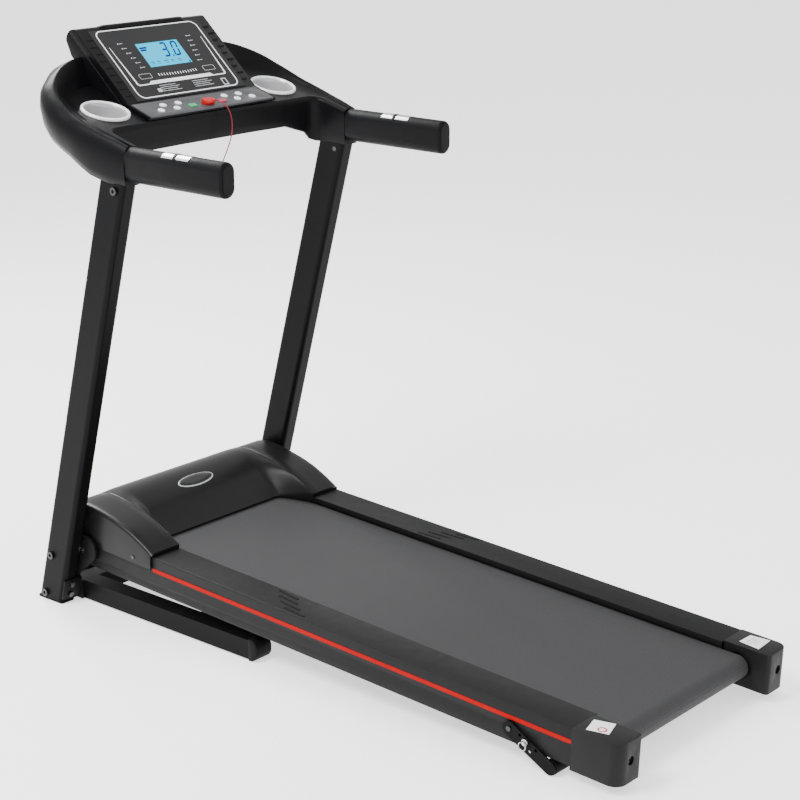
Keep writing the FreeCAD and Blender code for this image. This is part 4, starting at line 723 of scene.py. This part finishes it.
def shroud_half():
    """Columns of points from the arm's rear inner corner round to the front, at every level."""
    stations = smooth_between([(*rim, bulge) for rim, bulge in zip(rim_line, swell)], 4)
    columns = []
    for index, (x, y, z, bulge) in enumerate(stations):
        before = stations[max(index - 1, 0)]
        after = stations[min(index + 1, len(stations) - 1)]
        path = Vector((after[0] - before[0], after[1] - before[1]))
        out = Vector((path[1], -path[0])).normalized()
        if index == len(stations) - 1:
            out = Vector((0.0, 1.0))
        if index < 3:
            out = Vector((1.0, 0.0))
        run = min(1.0, index / 20.0)
        low = height_on(UNDERSIDE, min(y + bulge * out[1], 0.715))
        middle = low + (z - low) * 0.52
        at = beside(x, y, out)
        foot = 0.002 + 0.016 * run
        wall = 0.007 + 0.017 * run
        columns.append([at(bulge - foot - 0.003, low), at(bulge - foot * 0.6, low + 0.004),
                        at(bulge - foot * 0.25, low + (middle - low) * 0.4), at(bulge, middle),
                        at(bulge - 0.0015, middle + (z - middle) * 0.45),
                        at(bulge * 0.62, middle + (z - middle) * 0.83),
                        at(0.0045, z - 0.0012), at(0.0012, z), at(-0.0025, z - 0.0008),
                        at(-0.005, z - 0.004), at(-wall * 0.7, shelf(y) + 0.003 + (z - shelf(y)) * 0.35),
                        at(-wall, shelf(y) + SKIN)])
    return columns


def notch_half():
    """Columns down the arm's inner side and along the beam to the centre line."""
    path = [(NOTCH_SIDE, ARM_REAR), (NOTCH_SIDE, 0.42), (NOTCH_SIDE, 0.445), (NOTCH_SIDE - 0.0005, 0.460),
            (NOTCH_SIDE - 0.005, 0.472), (NOTCH_SIDE - 0.016, 0.4775), (NOTCH_SIDE - 0.03, BEAM_FACE),
            (0.2, BEAM_FACE), (0.1, BEAM_FACE), (0.0, BEAM_FACE)]
    columns = []
    for index, (x, y) in enumerate(path):
        if index < 4:
            out = Vector((-1.0, 0.0))
        elif index == 4:
            out = Vector((-0.7, -0.7))
        else:
            out = Vector((0.0, -1.0))
        low = ARM_LOW + (0.0, 0.0, 0.0, 0.0, 0.0005, 0.006, 0.021, 0.0395, 0.0405, 0.0405)[index]
        top = shelf(y)
        at = beside(x, y, out)
        rise = top - low
        columns.append([at(-0.004, low), at(-0.001, low + 0.001), at(0.0, low + 0.005),
                        at(0.0, low + rise * 0.3), at(0.0, low + rise * 0.55), at(0.0, low + rise * 0.8),
                        at(0.0, top - 0.006), at(-0.0008, top - 0.003), at(-0.003, top - 0.0008),
                        at(-0.0045, top), at(-0.007, top + 0.0004), at(-0.010, top + SKIN)])
    return columns


def shroud_mesh():
    """The two halves skinned into one shell, with a shelf open at the cups and a closed underside."""
    shape = bmesh.new()
    outer = shroud_half()
    inner = notch_half()
    right = inner[::-1] + outer
    flip = [[Vector((-p.x, p.y, p.z)) for p in column] for column in right]
    ring = right + flip[::-1][1:-1]
    grid = [[shape.verts.new(point) for point in column] for column in ring]
    count = len(grid)
    for index in range(count):
        after = (index + 1) % count
        for level in range(len(grid[0]) - 1):
            shape.faces.new((grid[index][level], grid[after][level], grid[after][level + 1],
                             grid[index][level + 1]))
    top_edges, low_edges = ([shape.edges.get((grid[index - 1][level], grid[index][level]))
                             for index in range(count)] for level in (-1, 0))
    holes = []
    for side in (-1, 1):
        hole = []
        for step in range(CUP_HOLE_STEPS):
            angle = math.tau * step / CUP_HOLE_STEPS
            x = side * CUP_X + CUP_HOLE_R * math.cos(angle)
            y = CUP_Y + CUP_HOLE_R * math.sin(angle) * math.cos(SHELF_ANGLE)
            hole.append(shape.verts.new((x, y, shelf(y) + SKIN)))
        for step in range(CUP_HOLE_STEPS):
            holes.append(shape.edges.new((hole[step], hole[(step + 1) % CUP_HOLE_STEPS])))
    bmesh.ops.triangle_fill(shape, edges=top_edges + holes, use_beauty=True)
    bmesh.ops.triangle_fill(shape, edges=low_edges, use_beauty=True)
    piece = shell(shape, "console_shroud", shroud_finish, 50)
    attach(piece, "base")
    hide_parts("shroud_upper", "shroud_lower")


shroud_mesh()

# ---- cup holders -----------------------------------------------------
# Silver plastic cups dropped through round holes in the shelf, each held by the bright rolled ring
# round its mouth.
ring_finish = Finish("bright_ring", (0.86, 0.86, 0.87), 0.3, Metallic=0.1)
ring_finish.vary(rough=(180.0, 3.0, 0.16, 0.14), bumps=(700.0, 0.06, 0.0001))
cup_finish = Finish("silver_cup", (0.26, 0.26, 0.27), 0.26, Metallic=0.3)
cup_finish.vary((30.0, 3.0, (0.36, 0.36, 0.37), (0.52, 0.52, 0.53)), (80.0, 3.0, 0.12, 0.16),
                (420.0, 0.08, 0.0002))


def turned(name, profile, base, axis, finish, body, steps=64):
    """A round piece turned about an axis: the profile is (radius, height) pairs from end to end."""
    axis = Vector(axis).normalized()
    first = axis.orthogonal().normalized()
    second = axis.cross(first)
    shape = bmesh.new()
    rows = []
    for radius, height in profile:
        if radius < 1e-7:
            rows.append([shape.verts.new(Vector(base) + axis * height)])
            continue
        row = []
        for step in range(steps):
            angle = math.tau * step / steps
            row.append(shape.verts.new(Vector(base) + axis * height
                                       + (first * math.cos(angle) + second * math.sin(angle)) * radius))
        rows.append(row)
    skin_rows(shape, rows, steps)
    piece = shell(shape, name, finish, 40)
    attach(piece, body)
    return piece


shelf_up = (0.0, -math.sin(SHELF_ANGLE), math.cos(SHELF_ANGLE))
cup_profile = [(0.0, -0.052), (0.030, -0.052), (0.0365, -0.050), (0.0400, -0.040), (0.0437, -0.006),
               (0.0440, 0.0015), (0.0422, 0.0030), (0.0412, 0.0015), (0.0405, -0.006), (0.0370, -0.039),
               (0.0340, -0.047), (0.0290, -0.0490), (0.0, -0.0490)]
ring_profile = [(0.0425, 0.0002), (0.0488, 0.0002), (0.0492, 0.0022), (0.0484, 0.0046), (0.0466, 0.0058),
                (0.0444, 0.0056), (0.0430, 0.0040), (0.0425, 0.0002)]
cup_pieces = []
for side, word in ((-1, "left"), (1, "right")):
    base = (side * CUP_X, CUP_Y, shelf(CUP_Y))
    cup_pieces.append(turned("cup_" + word, cup_profile, base, shelf_up, cup_finish, "base"))
    cup_pieces.append(turned("cup_ring_" + word, ring_profile, base, shelf_up, ring_finish, "base"))
for piece in cup_pieces:
    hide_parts("cup_holders")

# ---- console housing -------------------------------------------------
# Two satin mouldings with softly rounded edges, screwed together round the display and its circuit
# board, and slotted down both sides of the panel.
rounded_copy("console_front", "console_face", 0.0030, 3, finish=shroud_finish)
rounded_copy("console_back", "console_rear", 0.0030, 3, finish=shroud_finish)
strip_finish = moulded("strip_plastic", (0.055, 0.055, 0.058), 0.3, depth=0.06, shine=0.2)
rounded_copy("button_strip", "button_plate", 0.0008, 2, finish=strip_finish)
repaint("console_board", circuit_finish)

panel_foot = Vector((0.0, 0.541, 1.031))
panel_up = Vector((0.0, 0.148, 0.1325)).normalized()
panel_out = Vector((0.0, -panel_up.z, panel_up.y))
panel_turn = math.atan2(panel_up.z, panel_up.y)


def on_panel(x, up, lift=0.0):
    """A point on the display panel, measured up from its lower edge."""
    return panel_foot + Vector((x, 0.0, 0.0)) + panel_up * up + panel_out * lift


vent_places = []
for side in (-1, 1):
    for step in range(9):
        vent_places.append(on_panel(side * (0.1625 if step % 2 else 0.1580), 0.022 + 0.0185 * step,
                                    0.0002))
vents = Growth("side_vents", {"Slot length": 0.017, "Slot width": 0.0032, "Slot height": 0.0009})
vents.grow("console_vents", vent_places, (panel_turn, 0.0, 0.0), clip_finish, "base", bevel=0.0003)

LIP_HALF, LIP_END, LIP_STEPS = 0.117, 0.012, 24
LIP_SUNK = -0.001
lip_shape = bmesh.new()
lip_rows = []
for up, lift in ((0.192, LIP_SUNK), (0.192, 0.0030), (0.1945, 0.0052), (0.1985, 0.0052),
                 (0.2035, 0.0020), (0.2035, -0.004)):
    row = []
    for step in range(LIP_STEPS + 1):
        x = -LIP_HALF + 2 * LIP_HALF * step / LIP_STEPS
        end = min(1.0, (LIP_HALF - abs(x)) / LIP_END)
        raised = LIP_SUNK + (lift - LIP_SUNK) * math.sqrt(max(end, 0.0))
        row.append(lip_shape.verts.new(on_panel(x, up, raised)))
    lip_rows.append(row)
for low, high in zip(lip_rows, lip_rows[1:]):
    for step in range(LIP_STEPS):
        lip_shape.faces.new((low[step], low[step + 1], high[step + 1], high[step]))
smooth(lip_shape)
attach(finished(lip_shape, "console_top_lip", shroud_finish), "base")

# ---- display panel ---------------------------------------------------
# A printed plastic film glued on the console's face, with a white rounded frame and small marks,
# open at a lit liquid-crystal display.
film_finish = moulded("panel_film", (0.014, 0.014, 0.015), 0.34, grain=3000.0, depth=0.04, shine=0.2)
repaint("display_overlay", film_finish)
print_finish = moulded("white_print", (0.86, 0.87, 0.88), 0.4, depth=0.03)


def flat_shape(name, loops, finish, lift=0.00105, depth=0.00035):
    """Thin raised print on the panel: pairs of an outline of (x, up) points and a hole or None."""
    thin_slab(name, loops, finish, lambda x, up: on_panel(x, up, lift), panel_out * -depth, "base")


def rounded_loop(x0, x1, low, high, radius, steps=6):
    """Outline of a rectangle with round corners."""
    points = []
    for cx, cy, start in ((x1 - radius, high - radius, 0), (x0 + radius, high - radius, 90),
                          (x0 + radius, low + radius, 180), (x1 - radius, low + radius, 270)):
        for step in range(steps + 1):
            angle = math.radians(start + 90 * step / steps)
            points.append((cx + radius * math.cos(angle), cy + radius * math.sin(angle)))
    return points


flat_shape("white_frame", [(rounded_loop(-0.1385, 0.1385, 0.008, 0.1895, 0.017),
                            rounded_loop(-0.1360, 0.1360, 0.0105, 0.1870, 0.0148))], print_finish)
u_outer = [(-0.1262, 0.1450), (-0.1254, 0.1450), (-0.1185, 0.0450), (-0.1150, 0.0432), (-0.0900, 0.0432),
           (-0.0840, 0.0490), (0.0800, 0.0490), (0.0860, 0.0432), (0.1150, 0.0432), (0.1185, 0.0450),
           (0.1254, 0.1450), (0.1262, 0.1450), (0.1222, 0.0440), (0.1180, 0.0405), (-0.1180, 0.0405),
           (-0.1222, 0.0440)]
flat_shape("inner_line", [(u_outer, None)], print_finish)

lcd_glow = Finish("display_glow", (0.0, 0.10, 0.16), 0.3, Emission_Strength=1.35, Specular_IOR_Level=0.05)
tint = lcd_glow.mix(lcd_glow.noise(14.0, 2.0), (0.0, 0.60, 0.92), (0.0, 0.66, 1.0))
lcd_glow.feed(Emission_Color=tint)
lcd_glow.relief(lcd_glow.noise(1800.0, 2.0), 0.02, 0.0001)
repaint("display_lcd", lcd_glow)
digit_finish = moulded("display_digits", (0.001, 0.006, 0.16), 0.4, depth=0.02, shine=0.1)
faint_finish = moulded("display_faint", (0.0, 0.12, 0.34), 0.4, depth=0.02, shine=0.1)

segments = {"a": ((0.15, 0.94), (0.85, 1.0)), "b": ((0.78, 0.54), (1.0, 0.95)),
            "c": ((0.78, 0.05), (1.0, 0.46)), "d": ((0.15, 0.0), (0.85, 0.06)),
            "e": ((0.0, 0.05), (0.22, 0.46)), "f": ((0.0, 0.54), (0.22, 0.95)),
            "g": ((0.15, 0.47), (0.85, 0.53))}
STROKE = 0.055
DIGIT_LEAN = 0.20
DIGIT_LOW, DIGIT_WIDE, DIGIT_TALL = 0.1055, 0.0165, 0.0365


def digit(lit, left):
    """Loops of a seven-segment digit, leaning a little."""
    loops = []
    for name in lit:
        (x0, y0), (x1, y1) = segments[name]
        if name in "adg":
            y0, y1 = (y0 + y1) / 2 - STROKE, (y0 + y1) / 2 + STROKE
        corners = []
        for fx, fy in ((x0, y0), (x1, y0), (x1, y1), (x0, y1)):
            corners.append((left + DIGIT_WIDE * fx + DIGIT_LEAN * DIGIT_TALL * (fy - 0.5),
                            DIGIT_LOW + DIGIT_TALL * fy))
        loops.append((corners, None))
    return loops


digits = digit("abgcd", 0.0010) + digit("abcdef", 0.0303)
digits.append((rounded_loop(0.0200, 0.0236, 0.1040, 0.1076, 0.0012), None))
for row, (x0, x1) in enumerate(((-0.053, -0.034), (-0.053, -0.038))):
    digits.append((rounded_loop(x0, x1, 0.132 - 0.006 * row, 0.1360 - 0.006 * row, 0.0010), None))
digits.append((rounded_loop(0.050, 0.054, 0.0840, 0.0880, 0.0010), None))
flat_shape("display_digits", digits, digit_finish, lift=0.0006, depth=0.0003)
faint = []
for step, word_long in enumerate((0.010, 0.007, 0.012, 0.008, 0.010)):
    left = -0.050 + 0.0185 * step
    faint.append((rounded_loop(left, left + word_long, 0.0945, 0.0963, 0.0006), None))
    faint.append((rounded_loop(left + 0.002, left + word_long - 0.001, 0.0900, 0.0915, 0.0006), None))
flat_shape("display_words", faint, faint_finish, lift=0.0006, depth=0.0003)

tick_places = [on_panel(-0.0515 + 0.0073 * step, 0.0605 + 0.0016 * ((step - 7.0) / 7.0) ** 2, 0.0010)
               for step in range(15)]
ticks = Growth("speed_ticks", {"Tick width": 0.0016, "Tick length": 0.0058, "Tick height": 0.0004})
ticks.grow("panel_ticks", tick_places, (panel_turn, 0.0, 0.0), print_finish, "base")

mark_loops = []
for side in (-1, 1):
    for row in range(6):
        up = 0.084 + 0.0132 * row
        x = side * (0.0790 + 0.0030 * row)
        mark_loops.append((rounded_loop(x - 0.0060, x - 0.0030, up, up + 0.0030, 0.0008, 2), None))
        mark_loops.append((rounded_loop(x - 0.0015, x + 0.0070, up + 0.0008, up + 0.0020, 0.0005, 2),
                           None))
for side in (-1, 1):
    middle = side * 0.0875
    mark_loops.append((rounded_loop(middle - 0.016, middle + 0.016, 0.0560, 0.0690, 0.003),
                       rounded_loop(middle - 0.0152, middle + 0.0152, 0.0568, 0.0682, 0.0024)))
    for row in range(4):
        left = side * 0.045 - 0.026
        mark_loops.append((rounded_loop(left, left + 0.052 - 0.008 * (row % 2), 0.0195 + 0.0048 * row,
                                        0.0206 + 0.0048 * row, 0.0004, 2), None))
mark_loops.append((rounded_loop(-0.0815, -0.0715, 0.0190, 0.0280, 0.001, 2), None))
mark_loops.append((rounded_loop(0.096, 0.110, 0.0130, 0.0310, 0.001, 2),
                   rounded_loop(0.0985, 0.1075, 0.0155, 0.0285, 0.0008, 2)))
grey_print = moulded("grey_print", (0.45, 0.46, 0.47), 0.4, depth=0.03)
flat_shape("panel_marks", mark_loops, grey_print)

# ---- push buttons ----------------------------------------------------
# Eight domed white plastic buttons in two staggered rows, a lit green start button and a red stop
# button, each sprung in its hole in the strip.
button_white = moulded("white_button", (0.88, 0.88, 0.89), 0.3, depth=0.03, shine=0.4)
strip_foot = Vector((0.0, 0.484, 1.0125))
strip_up = Vector((0.0, 0.057, 0.0185)).normalized()
strip_out = Vector((0.0, -strip_up.z, strip_up.y))
dome = [(0.0, -0.0028), (0.0069, -0.0028), (0.0073, -0.0024), (0.0073, 0.0006), (0.0070, 0.0013),
        (0.0060, 0.0018), (0.0043, 0.0022), (0.0021, 0.0024), (0.0, 0.00245)]
number = 0
for up, row in ((0.019, (-0.1264, -0.0839, 0.0839, 0.1264)),
                (0.038, (-0.1048, -0.0640, 0.0640, 0.1048))):
    for x in row:
        number += 1
        name = "button_%d" % number
        button = turned("dome_%d" % number, dome, strip_foot + Vector((x, 0, 0)) + strip_up * up,
                        strip_out, button_white, name, steps=32)
        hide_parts(name)
green_glow = Finish("green_button", (0.01, 0.20, 0.07), 0.3, Emission_Strength=0.25)
green_tint = green_glow.mix(green_glow.noise(160.0, 2.0), (0.01, 0.22, 0.08), (0.04, 0.36, 0.15))
green_glow.feed(Base_Color=green_tint, Emission_Color=green_tint)
stop_finish = moulded("stop_button", (0.40, 0.04, 0.08), 0.3, depth=0.03, shine=0.3)
rounded_copy("start_button", "start_key", 0.0012, 3, body="start_button", finish=green_glow)
rounded_copy("stop_button", "stop_key", 0.0012, 3, body="stop_button", finish=stop_finish)

# ---- grips and pulse plates ------------------------------------------
# Long oval soft-touch grips on steel cores, closed by an end plug, with two bright contact plates
# on top and a dark divider between them.
grip_finish = moulded("soft_grip", (0.0045, 0.0045, 0.005), 0.5, grain=1300.0, depth=0.35,
                      shine=0.06)
rounded_copy("grips", "oval_grips", 0.0008, 2, sharp=60.0, finish=grip_finish)
plate_steel = Finish("pulse_plate", (0.60, 0.60, 0.61), 0.3, Metallic=1.0)
brushed = plate_steel.noise(300.0, 3.0, plate_steel.place((12.0, 0.5, 12.0)))
plate_steel.feed(Roughness=brushed * 0.25 + 0.14)
plate_steel.relief(brushed, 0.08, 0.0001)
repaint("pulse_plates", plate_steel)
GRIP_X = 0.3067
CROWN_Z, CROWN_OUT, CROWN_IN = 0.9630, 0.0208, 0.0192
DIVIDER_Y, DIVIDER_HALF, DIVIDER_STEPS = 0.2615, 0.0030, 16
PLUG_Z, PLUG_STEPS = 0.949, 40
for side, word in ((-1, "left"), (1, "right")):
    shape = bmesh.new()
    rows = []
    for reach in (-1.0, 1.0):
        row = []
        for step in range(DIVIDER_STEPS + 1):
            turn = math.radians(-58 + 116 * step / DIVIDER_STEPS)
            y = DIVIDER_Y + 0.006 * math.cos(turn * 1.5) + DIVIDER_HALF * reach
            for lift in (CROWN_OUT, CROWN_IN):
                row.append(shape.verts.new((side * GRIP_X + lift * math.sin(turn), y,
                                            CROWN_Z + lift * math.cos(turn))))
        rows.append(row)
    for step in range(DIVIDER_STEPS):
        a, b = rows[0][2 * step:2 * step + 4], rows[1][2 * step:2 * step + 4]
        shape.faces.new((a[0], b[0], b[2], a[2]))
        shape.faces.new((a[1], a[3], b[3], b[1]))
        shape.faces.new((a[0], a[2], a[3], a[1]))
        shape.faces.new((b[0], b[1], b[3], b[2]))
    for end in (0, 2 * DIVIDER_STEPS):
        shape.faces.new((rows[0][end], rows[0][end + 1], rows[1][end + 1], rows[1][end]))
    bmesh.ops.recalc_face_normals(shape, faces=shape.faces)
    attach(finished(shape, "plate_divider_" + word, clip_finish), "base")

    shape = bmesh.new()
    rows = []
    for radius_x, radius_z, y in ((0.0135, 0.0275, 0.1395), (0.0135, 0.0275, 0.1380),
                                  (0.0125, 0.0265, 0.1372), (0.0060, 0.0130, 0.1372)):
        row = []
        for step in range(PLUG_STEPS):
            angle = math.tau * step / PLUG_STEPS
            x = side * GRIP_X + radius_x * math.cos(angle)
            straight = (radius_z - radius_x) * (1 if math.sin(angle) > 0 else -1)
            row.append(shape.verts.new((x, y, PLUG_Z + straight + radius_x * math.sin(angle))))
        rows.append(row)
    skin_rows(shape, rows, PLUG_STEPS)
    shape.faces.new(rows[-1])
    shape.faces.new(rows[0][::-1])
    bmesh.ops.recalc_face_normals(shape, faces=shape.faces)
    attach(finished(shape, "grip_plug_" + word, clip_finish), "base")
